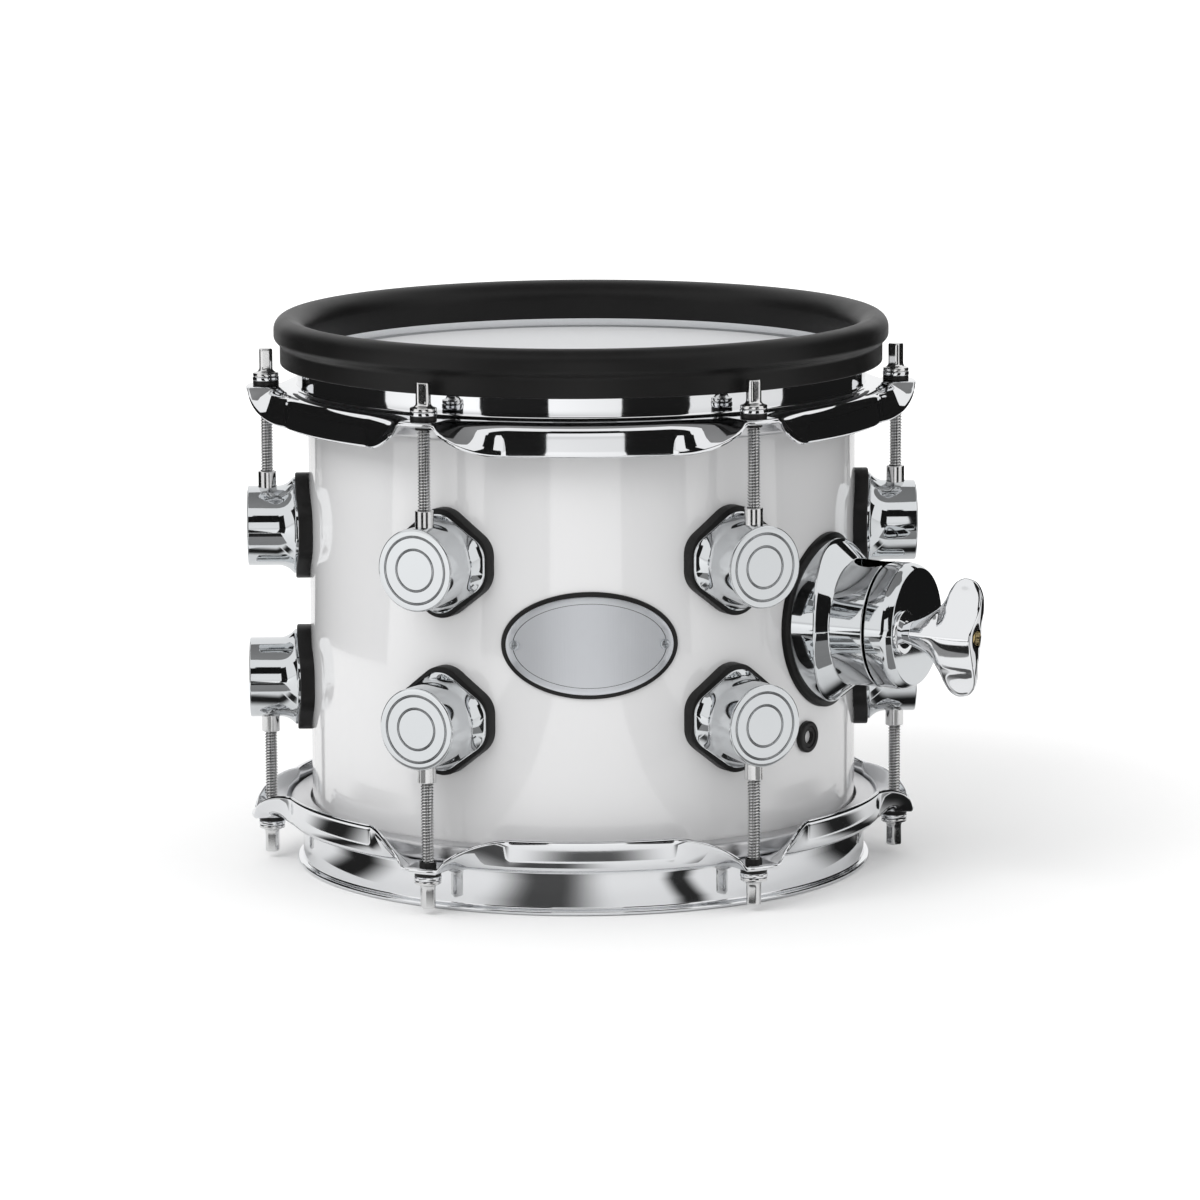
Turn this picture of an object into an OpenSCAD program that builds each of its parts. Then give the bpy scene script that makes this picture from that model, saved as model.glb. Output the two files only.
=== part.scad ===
// Electronic tom: a small wooden drum with a mesh head, a rubber-covered hoop, a trigger
// inside, a jack in its side and a clamp bracket that takes the tube of a tom holder.
// Millimetres. +Z up, the badge faces -Y. The drum stands on the lip of its lower hoop,
// and the origin is the centre of that lip.

/* [Shell] */
// Outside diameter of the wooden shell
shell_d = 254; // [240:1:300]
// Length of the shell between its two bearing edges
shell_depth = 224; // [210:1:260]
// Wall thickness of the shell
shell_wall = 6.5; // [5:0.5:8]
// Width of the flat crest of the bearing edge
crest_w = 0.8; // [0.5:0.1:1.2]
// Depth of the cut outside the crest
crest_cut = 1.6; // [1:0.1:2]

/* [Heads] */
// Thickness of the film or mesh
head_t = 0.5; // [0.3:0.05:0.6]
// Height of the hoop that the head is bonded to
flesh_h = 8; // [6:0.5:9]
// Radial width of the hoop that the head is bonded to
flesh_w = 9.2; // [7:0.1:9.4]

/* [Hoops] */
// Thickness of the hoop's steel sheet
sheet = 2.3; // [1.6:0.1:2.4]
// Radial room between the shell and the hoop, where the head passes
collar_gap = 2.3; // [1.8:0.1:3]
// Height of the hoop from its lip to the outer face of its ears
hoop_rise = 20; // [18:0.5:24]
// Depth of the head below the plane of the lip
edge_recess = 9.75; // [8:0.25:12]
// How far the rolled lip stands out from the band
lip_out = 2.5; // [2:0.1:3.5]
// Thickness of the rolled lip
lip_t = 2.2; // [1.8:0.1:2.6]
// Radius of the middle of the sheet where the flange turns into the skirt
skirt_bend = 4.5; // [4:0.1:5]
// Straight length of the skirt past its bend
skirt_len = 10; // [6:0.5:12]
// Flat width of the ear at each tension rod
ear_w = 14.6; // [14:0.1:20]
// Run over which an ear turns down into the skirt
ear_blend = 31; // [24:0.5:36]
// How far an ear reaches past its rod
ear_reach = 9.5; // [8:0.5:11]

/* [Rubber rim] */
// Height of the rubber above the lip
rim_over = 12.5; // [8:0.5:16]
// How far the rubber's bead stands out from the lip
rim_bead = 8.3; // [7.5:0.1:8.4]
// How far the rubber hangs down outside the band
rim_hang = 9.5; // [6:0.5:11]
// How far the rubber hangs down inside the band
rim_inside = 5.5; // [4:0.5:7]
// Thickness of the rubber inside the band
rim_inner_t = 2; // [1.5:0.1:2.2]

/* [Tension rods] */
// Distance of a rod's axis from the outside of the shell
rod_offset = 19.2; // [19:0.1:22]
// Outside diameter of the rod's thread
rod_d = 5.9; // [5:0.1:6]
// Length of a rod under its collar
rod_len = 77; // [72:1:80]
// Width across the flats of the rod's square head
key_w = 6; // [5:0.1:6.4]
// Height of the square head
key_h = 10.4; // [8:0.1:12]
// Diameter of the collar under the head
collar_d = 12; // [10:0.1:12.4]
// Thickness of the collar
collar_t = 2.5; // [2:0.1:3]
// Diameter of the steel washer
washer_d = 12.4; // [11:0.1:12.8]
// Thickness of the steel washer
washer_t = 2.1; // [1:0.1:2.5]
// Diameter of the flange of the nylon bush
bush_d = 12; // [11:0.1:12.8]
// Thickness of the flange of the nylon bush
bush_t = 2.1; // [1:0.1:2.5]
// Diameter of the bush's sleeve in the ear
sleeve_d = 7.7; // [7:0.1:8.2]
// How far the bush's sleeve shows below the ear
sleeve_out = 1.9; // [1:0.1:3]

/* [Lugs] */
// Distance of a lug's axis from the middle of the shell
lug_offset = 35.8; // [30:0.1:42]
// Diameter of a lug
lug_d = 37.2; // [35:0.1:38]
// Length of a lug from its gasket to its face
lug_len = 22; // [21:0.1:26]
// Width across the sides of a lug's foot
lug_foot_w = 44.8; // [42:0.1:46]
// Thickness of the edge of a lug's foot
lug_foot_t = 1.2; // [1:0.1:2.5]
// Radius of the hollow between a lug's foot and its barrel
lug_flare = 8; // [6:0.1:9]
// Thickness of the rubber gasket
gasket_t = 6.4; // [4:0.1:7]
// How far the gasket shows above and below a lug's foot
gasket_rim = 3; // [2:0.1:4]
// How far the gasket shows beside a lug's foot
gasket_side = 0.9; // [0.5:0.1:3]
// Diameter of the swivel nut's neck
nut_neck_d = 8.4; // [7.6:0.1:9]
// Height of the end of the nut's neck above the lug's axis
nut_neck_up = 25.7; // [22:0.1:28]
// Distance of the two fixing screws from the lug's axis
lug_screw_x = 12; // [11.5:0.1:13]
// Diameter of a fixing screw
lug_screw_d = 4; // [3:0.1:4.5]

/* [Badge] */
// Width of the badge over its black border
badge_w = 79; // [76:0.5:84]
// Height of the badge over its black border
badge_h = 48.5; // [36:0.5:52]
// Width of the black border
badge_border = 2; // [1.5:0.1:4]
// Thickness of the border under the plate
border_t = 1.2; // [0.8:0.1:2]
// Thickness of the badge plate
plate_t = 0.9; // [0.6:0.1:1.5]
// Distance of the badge screws from the badge's middle
badge_screw_x = 33; // [26:0.5:34]

/* [Bracket] */
// Diameter of the neck and jaw
neck_d = 57.7; // [54:0.1:62]
// Length of the neck from the cone to the split
neck_len = 16.3; // [16:0.1:20]
// Distance of the end of the cone from the outside of the shell
neck_start = 15; // [13:0.1:18]
// Width of the oval foot
foot_w = 66.8; // [60:0.2:74]
// Height of the oval foot
foot_h = 75.2; // [70:0.2:84]
// Steepness of the cone, as axial run for each millimetre of radius
cone_slope = 1.21; // [1:0.01:1.3]
// Thickness of the bracket's gasket
foot_gasket_t = 2.5; // [1.5:0.1:4]
// How far the bracket's gasket shows round the foot
foot_gasket_rim = 2.6; // [1.5:0.1:4]
// Diameter of the tube that the bracket takes
tube_d = 19; // [15:0.1:19.4]
// Distance of the tube's axis from the split, towards the shell
tube_back = 6.8; // [5.5:0.1:7]
// Gap between neck and jaw
split = 1.2; // [0.8:0.1:2]
// Length of the jaw
jaw_len = 13.1; // [12:0.1:16]
// Length of the jaw's bevelled end
jaw_bevel = 4; // [2:0.1:5]
// Distance of the clamp stud from the bracket's axis
stud_off = 16; // [15:0.1:18]
// Diameter of the clamp stud
stud_d = 8; // [6:0.1:8.5]
// How far the stud reaches past the jaw
stud_out = 34; // [30:0.5:38]
// Opening travel of the jaw
jaw_travel = 6; // [3:0.5:7]

/* [Wing nut] */
// Length of the wing nut
wing_len = 36.5; // [32:0.5:42]
// Width over the two wings
wing_w = 53; // [44:0.5:58]
// Diameter of the wing nut's hub
hub_d = 13; // [12:0.5:16]
// Thickness of a wing near its tip
wing_t = 3.2; // [2.6:0.1:6]
// Diameter of the ring under the wing nut
ring_d = 20; // [16:0.2:20.6]
// Thickness of the ring under the wing nut
ring_t = 2; // [1.5:0.1:3]

/* [Jack] */
// Diameter of the plug that the jack takes
plug_d = 6.35; // [3.5:0.05:6.35]
// Diameter of the ring round the jack's mouth
jack_ring_d = 14.5; // [13:0.1:18]
// Height of the jack above the middle of the shell
jack_up = -51.5; // [-56:0.5:-50]

/* [Trigger] */
// Width of the bridge bar
bridge_w = 34; // [30:1:44]
// Thickness of the bridge bar
bridge_t = 2.5; // [2:0.1:3]
// Height of the bridge above the axes of the upper lugs
bridge_up = 14; // [11:0.5:18]
// Diameter of the rubber posts under the trigger plate
post_d = 9; // [7:0.5:10]
// Height of the rubber posts
post_h = 9; // [6:0.5:12]
// Distance of the posts from the bridge's middle line
post_side = 11; // [8:0.5:11.5]
// Diameter of the trigger plate
trigger_plate_d = 64; // [56:1:80]
// Diameter of the piezo disc
piezo_d = 35; // [27:1:35]
// Diameter of the foam cone at its foot
cone_foot_d = 38; // [36:1:44]
// Diameter of the foam cone at the head
cone_tip_d = 12; // [8:1:16]

/* [Hidden] */
$fn = 96;
lug_count = 6;
sector = 360 / lug_count;
shell_r = shell_d / 2;
inner_r = shell_r - shell_wall;
low_edge = edge_recess;
mid_z = low_edge + shell_depth / 2;
high_edge = low_edge + shell_depth;
// Room left between pieces that fit together
fit = 0.1;
run = 0.05;
crest_out = shell_r - crest_cut;
crest_in = crest_out - crest_w;
// Start of the cuts that go out through the wall
drill_s = inner_r - 12;
// Hoop, measured up from its lip
band_in = shell_r + collar_gap;
band_out = band_in + sheet;
lip_r = band_out + lip_out;
hoop_top = hoop_rise + sheet;
rod_r = shell_r + rod_offset;
// Radius of the bar that the square head is milled from, which rounds its corners
key_corner = 0.58 * key_w;
ear_r = rod_r + ear_reach;
root_r = band_in + sheet / 2;
// Hoop of the head, between the head's collar and the skirt
head_room = 0.35;
skirt_room = 1.55;
flesh_in = shell_r + head_room + head_t + fit;
flesh_out = flesh_in + flesh_w;
skirt_r = flesh_out + skirt_room + sheet;
bend_start = skirt_r - sheet / 2 - skirt_bend;
bend_run = skirt_bend * PI / 2;
bend_parts = 4;
fillet = 2;
skirt_angle = 88;
// Angles from a rod to the end of its flat ear and to the start of the full skirt
ear_half = atan((ear_w / 2) / rod_r);
blend_half = atan((ear_w / 2 + ear_blend) / rod_r);
ear_round = 0.9;
// Upper row of the tension hardware, measured from the ear's outer face
ear_face = 2 * mid_z - hoop_rise;
bush_hole_d = sleeve_d + 2 * run;
rod_hole_d = rod_d + 0.6;
collar_z = ear_face + bush_t + washer_t;
rod_tip = collar_z - rod_len;
// Lugs
upper_z = mid_z + lug_offset;
foot_s = shell_r + gasket_t;
lug_foot_h = 1.121 * lug_foot_w;
face_s = foot_s + lug_len;
lug_r = lug_d / 2;
pocket_w = 11;
pocket_top = 14;
pocket_low = -9;
nut_flange_d = 10.4;
lug_screw_in = 13;
lug_head_d = lug_screw_d * 1.8;
lug_head_h = lug_screw_d * 0.6;
// Badge
badge_pin_d = 2;
// Bracket
bracket_a = sector;
jack_a = bracket_a - 8.5;
neck_r = neck_d / 2;
neck_s = shell_r + neck_start;
split_s = neck_s + neck_len;
jaw_s = split_s + split;
jaw_end = jaw_s + jaw_len;
tube_s = split_s - tube_back;
tube_bore_r = tube_d / 2 + fit;
foot_back = shell_r + foot_gasket_t;
stud_root = neck_s + 2;
wing_s = jaw_end + ring_t;
pin_d = 6;
// The guide pin still stands in the jaw when the jaw is open
pin_tip = min(jaw_s + jaw_travel + 4, jaw_end - 3);
bolt_d = 6;
bolt_up = 21;
bolt_tip = neck_s - 3.5;
backing_t = 2;
// Upper half of the wing nut's side, as shares of its length and half width
bell = [
    [0, 0.17], [0.27, 0.32], [0.41, 0.45], [0.51, 0.62], [0.57, 0.79], [0.66, 0.94], [0.77, 1]
];
// Jack
jack_z = mid_z + jack_up;
jack_bore_d = plug_d + 2 * run;
barrel_d = plug_d + 3.1;
jack_box = 17;
jack_box_len = 22;
jack_box_s = sqrt(pow(inner_r, 2) - pow(jack_box / 2, 2)) - fit;
// Trigger, stacked from the bridge up to the head
bridge_z = upper_z + bridge_up;
tab_s = sqrt(pow(inner_r, 2) - pow(bridge_w / 2, 2)) - fit;
plate_z = bridge_z + bridge_t + post_h;
trigger_plate_t = 1.6;
tape_t = 3;
piezo_t = 0.6;
cone_z = plate_z + trigger_plate_t + tape_t + piezo_t;
rod_rows = [for (i = [0:lug_count - 1]) sector * (i + 0.5)];
bridge_a = rod_rows[1];

// Smooth step from 0 to 1
function ease(x) = let (u = min(1, max(0, x))) u * u * (3 - 2 * u);

// Points of an arc about a centre, from one angle to another
function arc(centre, r, from, to, steps = 6) =
    [for (i = [0:steps]) let (a = from + (to - from) * i / steps)
        centre + r * [cos(a), sin(a)]];

// Points of an ellipse
function oval(w, h, steps = 96) =
    [for (i = [0:steps - 1]) let (a = 360 * i / steps) [w / 2 * cos(a), h / 2 * sin(a)]];

function unit(v) = v / norm(v);

// Corner of an outline, rounded by an arc that touches both of its sides
function round_corner(before, corner, after, r, steps) =
    let (
        u = unit(before - corner),
        v = unit(after - corner),
        half = acos(u * v) / 2,
        centre = corner + unit(u + v) * r / sin(half),
        start = corner + u * r / tan(half) - centre,
        from = atan2(start[1], start[0])
    )
    arc(centre, r, from, from + 180 - 2 * half, steps);

// Six-sided foot of a lug, with upright sides and round corners, in proportion to its half height
function foot_outline(w, h) =
    let (
        half = w / 2,
        apex = h / 2,
        side = 0.343 * apex,
        r = 0.428 * apex,
        p = [
            [half, -side], [half, side], [0, apex],
            [-half, side], [-half, -side], [0, -apex]
        ]
    )
    [for (i = [0:5]) each round_corner(p[(i + 5) % 6], p[i], p[(i + 1) % 6], r, 5)];

// Tube swept along a route, with rings square to it
function tube_points(route, r, sides) =
    [for (i = [0:len(route) - 1])
        let (
            last = len(route) - 1,
            way = unit(route[min(i + 1, last)] - route[max(i - 1, 0)]),
            across = unit(cross(way, [0.31, 0.17, 0.93])),
            over = cross(way, across)
        )
        for (k = [0:sides - 1])
            route[i] + r * (across * cos(360 * k / sides) + over * sin(360 * k / sides))];

function tube_faces(rings, sides) = [
    [for (k = [0:sides - 1]) k],
    for (i = [0:rings - 2], k = [0:sides - 1])
        let (a = i * sides + k, b = i * sides + (k + 1) % sides)
        each [[a, b + sides, b], [a, a + sides, b + sides]],
    [for (k = [0:sides - 1]) rings * sides - 1 - k]
];

// Smooth route through given points, by a Catmull-Rom curve
function curve_at(p, i, u) =
    let (
        n = len(p) - 1,
        a = p[max(i - 1, 0)],
        b = p[i],
        c = p[i + 1],
        d = p[min(i + 2, n)]
    )
    0.5 * (2 * b + (c - a) * u + (2 * a - 5 * b + 4 * c - d) * u * u
        + (3 * b - a - 3 * c + d) * u * u * u);

function curve(p, steps) =
    concat(
        [for (i = [0:len(p) - 2], k = [0:steps - 1]) curve_at(p, i, k / steps)],
        [p[len(p) - 1]]
    );

// Puts children on the wall at an angle from the front: X along the wall, Y up, Z out from the axis
module on_wall(angle, z) {
    rotate([0, 0, angle])
        translate([0, 0, z])
            rotate([90, 0, 0])
                children();
}

// Upright at a tension rod
module at_rod(i) {
    rotate([0, 0, rod_rows[i - 1]])
        translate([0, -rod_r, 0])
            children();
}

// Turns a piece of the upper end over to the lower end
module lower_end() {
    translate([0, 0, 2 * mid_z])
        mirror([0, 0, 1])
            children();
}

module each_lug(z) {
    for (a = rod_rows)
        on_wall(a, z)
            children();
}

module ring_section(points) {
    rotate_extrude()
        polygon(points);
}

// Shell: a wooden tube with a bearing edge turned on each end
module shell() {
    inside_cut = crest_in - inner_r;
    color("white")
        difference() {
            ring_section([
                [inner_r, low_edge + inside_cut], [crest_in, low_edge], [crest_out, low_edge],
                [shell_r, low_edge + crest_cut], [shell_r, high_edge - crest_cut],
                [crest_out, high_edge], [crest_in, high_edge], [inner_r, high_edge - inside_cut]
            ]);
            for (z = [upper_z, 2 * mid_z - upper_z])
                each_lug(z)
                    for (x = [-1, 1])
                        translate([x * lug_screw_x, 0, drill_s])
                            cylinder(d = lug_screw_d + 2 * fit, h = shell_r);
            on_wall(bracket_a, mid_z)
                for (y = [-1, 1])
                    translate([0, y * bolt_up, drill_s])
                        cylinder(d = bolt_d + 2 * fit, h = shell_r);
            on_wall(jack_a, jack_z)
                translate([0, 0, drill_s])
                    cylinder(d = barrel_d + 2 * fit, h = shell_r);
            badge_pin_holes();
        }
}

// Head: a film over the bearing edge, with its collar bonded inside its hoop
module head_film() {
    collar_in = shell_r + head_room;
    collar_out = collar_in + head_t;
    rest = high_edge;
    fold = crest_out + fit;
    end = ear_face - sheet - flesh_h / 2;
    ring_section([
        [0, rest], [fold, rest], [collar_in, rest - crest_cut - fit], [collar_in, end],
        [collar_out, end], [collar_out, rest - crest_cut + 2 * fit],
        [fold + 2 * fit, rest + head_t], [0, rest + head_t]
    ]);
}

module flesh_hoop() {
    top = ear_face - sheet;
    low = top - flesh_h;
    corner = flesh_out - bend_start + fit;
    ring_section([
        [flesh_in, low], [flesh_out - corner, low], [flesh_out, low + corner],
        [flesh_out, top - corner], [flesh_out - corner, top], [flesh_in, top]
    ]);
}

module batter_mesh() { color("whitesmoke") head_film(); }
module resonant_head() { color("whitesmoke") lower_end() head_film(); }
module batter_flesh_hoop() { color("silver") flesh_hoop(); }
module resonant_flesh_hoop() { color("silver") lower_end() flesh_hoop(); }

// Hoop, drawn with its lip at Z = 0. The band and its rolled lip are turned. The flange is one strip
// of sheet that lies flat at the ears and turns up into a skirt between them.

// Angles from an ear to the middle of the next span, close together where the sheet turns
function half_span() = [
    for (u = [0, 0.55, 1]) ear_half * u,
    for (k = [1:10]) ear_half + (blend_half - ear_half) * pow(k / 10, 1.4),
    for (k = [1:4]) blend_half + (sector / 2 - blend_half) * k / 4
];

function span_angles() =
    let (h = half_span(), n = len(h))
    concat(h, [for (i = [n - 2:-1:1]) sector - h[i]]);

// Middle of the sheet at a length along the flange, with the direction of the sheet there
function flange_at(length, bend) =
    let (
        flat = bend_start - root_r,
        turn = max(bend, 0.02),
        into = min(max(length - flat, 0), bend_run),
        past = max(length - flat - bend_run, 0),
        angle = turn * into / bend_run,
        r = bend_run / (turn * PI / 180)
    )
    [
        root_r + min(length, flat) + r * sin(angle) + past * cos(angle),
        hoop_rise + sheet / 2 + r * (1 - cos(angle)) + past * sin(angle),
        angle
    ];

// Share of the skirt's full turn at an angle from a rod: quick beside the ear, slow towards the skirt
function turned_down(from_ear) =
    let (u = min(1, max(0, (from_ear - ear_half) / (blend_half - ear_half))))
    pow(u, 0.8) * ease(8 * u);

function flange_ring(from_ear) =
    let (
        down = turned_down(from_ear),
        bend = skirt_angle * down,
        flat = bend_start - root_r,
        ear_length = ear_r - root_r - ear_round * pow(min(1, from_ear / ear_half), 2) * (1 - down),
        skirt_length = flat + bend_run + skirt_len,
        reach = ear_length + (skirt_length - ear_length) * down,
        stops = [
            0, flat, for (k = [1:bend_parts]) flat + bend_run * k / bend_parts, reach
        ],
        line = [for (s = stops) flange_at(s, bend)]
    )
    concat(
        [for (p = line) [p[0] + sheet / 2 * sin(p[2]), p[1] - sheet / 2 * cos(p[2])]],
        [for (i = [len(line) - 1:-1:0])
            let (p = line[i])
            [p[0] - sheet / 2 * sin(p[2]), p[1] + sheet / 2 * cos(p[2])]]
    );

module hoop_flange() {
    angles = [for (i = [0:lug_count - 1], a = span_angles()) rod_rows[0] + sector * i + a];
    n = len(angles);
    rings = [
        for (i = [0:lug_count - 1], a = span_angles())
            flange_ring(min(a, sector - a))
    ];
    m = len(rings[0]);
    points = [
        for (i = [0:n - 1], p = rings[i])
            [p[0] * sin(angles[i]), -p[0] * cos(angles[i]), p[1]]
    ];
    faces = [
        for (i = [0:n - 1], j = [0:m - 1])
            let (
                a = i * m + j,
                b = i * m + (j + 1) % m,
                c = ((i + 1) % n) * m + (j + 1) % m,
                d = ((i + 1) % n) * m + j
            )
            each [[a, b, c], [a, c, d]]
    ];
    polyhedron(points, faces);
}

module hoop() {
    top = hoop_top - 0.4;
    edge = 0.5;
    roll = lip_t / 2;
    neck = lip_t * 0.6;
    into = hoop_rise + sheet / 3;
    difference() {
        union() {
            ring_section(concat(
                [[band_in, edge], [band_in + edge, 0], [lip_r - roll, 0]],
                arc([lip_r - roll, roll], roll, -90, 90),
                arc([band_out + neck, lip_t + neck], neck, 270, 180, 4),
                arc([band_out + fillet, hoop_rise + fit - fillet], fillet, 180, 90),
                [[band_out + fillet, into], [band_out, into]],
                [[band_out - sheet / 4, top], [band_in + sheet / 4, top], [band_in, top - edge]]
            ));
            hoop_flange();
        }
        for (i = [1:lug_count])
            at_rod(i)
                translate([0, 0, hoop_rise - sheet])
                    cylinder(d = bush_hole_d, h = 3 * sheet);
    }
}

module resonant_hoop() { color("gainsboro") hoop(); }
module batter_hoop() { color("gainsboro") lower_end() hoop(); }

// Rubber rim: a moulded ring that grips the lip of the upper hoop
module hoop_rubber() {
    lip = 2 * mid_z;
    top = lip + rim_over;
    bead_r = lip_r + rim_bead;
    wall_r = min(bead_r - 2, rod_r - washer_d / 2 - 0.4);
    in_r = band_in - rim_inner_t;
    crown = rim_over / 2;
    slope = crown + 4;
    hem = 0.8;
    low = lip - rim_hang;
    color([0.09, 0.09, 0.1])
        ring_section(concat(
            [[band_in - fit, lip - rim_inside], [in_r, lip - rim_inside]],
            arc([in_r + slope, top - slope], slope, 180, 100, 8),
            arc([bead_r - crown, top - crown], crown, 80, -30, 8),
            [[wall_r, lip - 1], [wall_r, low + hem], [wall_r - hem, low], [band_out + fit, low]],
            [[band_out + fit, lip - lip_t - 1.5], [lip_r + fit, lip - lip_t]],
            [[lip_r + fit, lip + fit], [band_in - fit, lip + fit]]
        ));
}

// Rubber gasket under each lug, bent to the shell
module lug_gaskets() {
    color([0.1, 0.1, 0.1])
        intersection() {
            for (z = [upper_z, 2 * mid_z - upper_z])
                each_lug(z)
                    translate([0, 0, drill_s])
                        linear_extrude(shell_r)
                            difference() {
                                polygon(foot_outline(
                                    lug_foot_w + 2 * gasket_side, lug_foot_h + 2 * gasket_rim
                                ));
                                square([pocket_w, 2 * pocket_top], center = true);
                                for (x = [-1, 1])
                                    translate([x * lug_screw_x, 0])
                                        circle(d = lug_screw_d + 2 * fit);
                            }
            ring_section([
                [shell_r + run, 0], [foot_s - run, 0],
                [foot_s - run, 2 * mid_z], [shell_r + run, 2 * mid_z]
            ]);
        }
}

// Round bar along the drum's axis, seen from the wall's own frame
module drum_bar(r) {
    rotate([90, 0, 0])
        cylinder(r = r, h = 2 * lug_d, center = true);
}

// Cast lug: a round barrel that flares into a six-sided foot bent to the shell, with turned rings on
// its face and a pocket behind for its swivel nut. The nut leaves it on the +Y side.
module lug() {
    r = lug_r;
    groove = 0.5;
    edge = 0.7;
    lines = [[0.47, 0.53], [0.78, 0.84]];
    rod_room = min(pocket_low, rod_tip - upper_z - 1);
    hollow_s = foot_s - 1.4;
    difference() {
        intersection() {
            union() {
                ring_section(concat(
                    [[0, drill_s], [r + lug_flare, drill_s]],
                    arc([r + lug_flare, hollow_s + lug_flare], lug_flare, 270, 180, 10),
                    [[r, face_s - edge], [r - edge, face_s]],
                    [for (i = [1:-1:0]) each [
                        [r * lines[i][1], face_s], [r * lines[i][1] - groove, face_s - groove],
                        [r * lines[i][0] + groove, face_s - groove], [r * lines[i][0], face_s]
                    ]],
                    [[0, face_s]]
                ));
                drum_bar(foot_s + lug_foot_t);
            }
            translate([0, 0, shell_r - lug_foot_t])
                linear_extrude(lug_d)
                    polygon(foot_outline(lug_foot_w, lug_foot_h));
        }
        drum_bar(foot_s);
        translate([-pocket_w / 2, pocket_low, foot_s - 1])
            cube([pocket_w, pocket_top - pocket_low, rod_r - foot_s + pocket_w / 2 + 1]);
        translate([0, pocket_top - 1, rod_r])
            rotate([-90, 0, 0])
                cylinder(d = nut_neck_d + 4 * fit, h = lug_d);
        translate([0, rod_room, rod_r])
            rotate([-90, 0, 0])
                cylinder(d = rod_d + 4 * fit, h = pocket_top - rod_room);
        for (x = [-1, 1])
            translate([x * lug_screw_x, 0, foot_s - 1])
                cylinder(d = lug_screw_d + 2 * run, h = lug_screw_in + 2);
    }
}

module batter_lugs() {
    color("gainsboro")
        each_lug(upper_z)
            lug();
}

module resonant_lugs() {
    color("gainsboro")
        lower_end()
            each_lug(upper_z)
                lug();
}

// Swivel nut inside each lug, with its neck standing out of the lug round the rod
module lug_nut() {
    bore = rod_d + 2 * run;
    translate([0, pocket_low + fit, rod_r])
        rotate([-90, 0, 0])
            difference() {
                union() {
                    cylinder(d = nut_flange_d, h = pocket_top - pocket_low - 2 * fit);
                    cylinder(d = nut_neck_d, h = nut_neck_up - pocket_low - fit);
                }
                translate([0, 0, -1])
                    cylinder(d = bore, h = nut_neck_up - pocket_low + 2);
            }
}

module lug_nuts() {
    color("silver") {
        each_lug(upper_z)
            lug_nut();
        lower_end()
            each_lug(upper_z)
                lug_nut();
    }
}

// Screws that hold the lugs from inside the shell. Two of the upper lugs hold the bridge too.
module lug_screw(seat) {
    translate([0, 0, seat - lug_head_h])
        cylinder(d = lug_head_d, h = lug_head_h);
    translate([0, 0, seat - fit])
        cylinder(d = lug_screw_d, h = foot_s + lug_screw_in - seat);
}

function screw_seat() = sqrt(pow(inner_r, 2) - pow(lug_screw_x + lug_head_d / 2, 2)) - fit;

module lug_screws() {
    color("dimgray")
        for (upper = [0, 1], a = rod_rows)
            on_wall(a, upper ? upper_z : 2 * mid_z - upper_z)
                for (x = [-1, 1])
                    translate([x * lug_screw_x, 0, 0])
                        lug_screw(upper && holds_bridge(a) ? tab_s - bridge_t : screw_seat());
}

// Tension rod: square head, collar and thread
module rod() {
    color("silver") {
        translate([0, 0, rod_tip])
            cylinder(d = rod_d, h = rod_len + collar_t);
        translate([0, 0, collar_z])
            cylinder(d = collar_d, h = collar_t);
        intersection() {
            translate([-key_w / 2, -key_w / 2, collar_z + collar_t - fit])
                cube([key_w, key_w, key_h + fit]);
            translate([0, 0, collar_z])
                ring_section([
                    [0, 0], [key_corner, 0], [key_corner, key_h + collar_t - key_w / 6],
                    [key_w / 2, key_h + collar_t], [0, key_h + collar_t]
                ]);
        }
    }
}

module washer() {
    color("silver")
        translate([0, 0, ear_face + bush_t])
            difference() {
                cylinder(d = washer_d, h = washer_t);
                translate([0, 0, -1])
                    cylinder(d = rod_hole_d, h = washer_t + 2);
            }
}

module bush() {
    translate([0, 0, ear_face])
        difference() {
            union() {
                cylinder(d = bush_d, h = bush_t);
                translate([0, 0, -sheet - sleeve_out])
                    cylinder(d = sleeve_d, h = sheet + sleeve_out + bush_t);
            }
            translate([0, 0, -sheet - sleeve_out - 1])
                cylinder(d = rod_hole_d, h = sheet + sleeve_out + bush_t + 2);
        }
}

module batter_rod(i) { at_rod(i) rod(); }
module resonant_rod(i) { lower_end() at_rod(i) rod(); }
module batter_washer(i) { at_rod(i) washer(); }
module resonant_washer(i) { lower_end() at_rod(i) washer(); }

module batter_rod_bushes() {
    color([0.12, 0.12, 0.12])
        for (i = [1:lug_count])
            at_rod(i)
                bush();
}

module resonant_rod_bushes() {
    color([0.12, 0.12, 0.12])
        lower_end()
            for (i = [1:lug_count])
                at_rod(i)
                    bush();
}

// Badge: an oval plate on a black border, both bent to the shell, with two small screws
module badge_pin_place() {
    on_wall(0, mid_z)
        for (x = [-1, 1])
            rotate([0, x * asin(badge_screw_x / shell_r), 0])
                translate([0, 0, shell_r])
                    children();
}

module bent_oval(w, h, from, thickness) {
    intersection() {
        difference() {
            cylinder(r = from + thickness, h = 2 * mid_z);
            translate([0, 0, -1])
                cylinder(r = from, h = 2 * mid_z + 2);
        }
        on_wall(0, mid_z)
            translate([0, 0, shell_r / 2])
                linear_extrude(shell_r)
                    polygon(oval(w, h));
    }
}

module badge_pin_holes() {
    badge_pin_place()
        cylinder(d = badge_pin_d + 2 * run, h = shell_wall * 2, center = true);
}

module badge_border() {
    color([0.08, 0.08, 0.08])
        difference() {
            bent_oval(badge_w, badge_h, shell_r + run, border_t);
            badge_pin_holes();
        }
}

module badge_plate() {
    color("lightgray")
        difference() {
            bent_oval(
                badge_w - 2 * badge_border, badge_h - 2 * badge_border,
                shell_r + border_t + 2 * run, plate_t
            );
            badge_pin_holes();
        }
}

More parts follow.
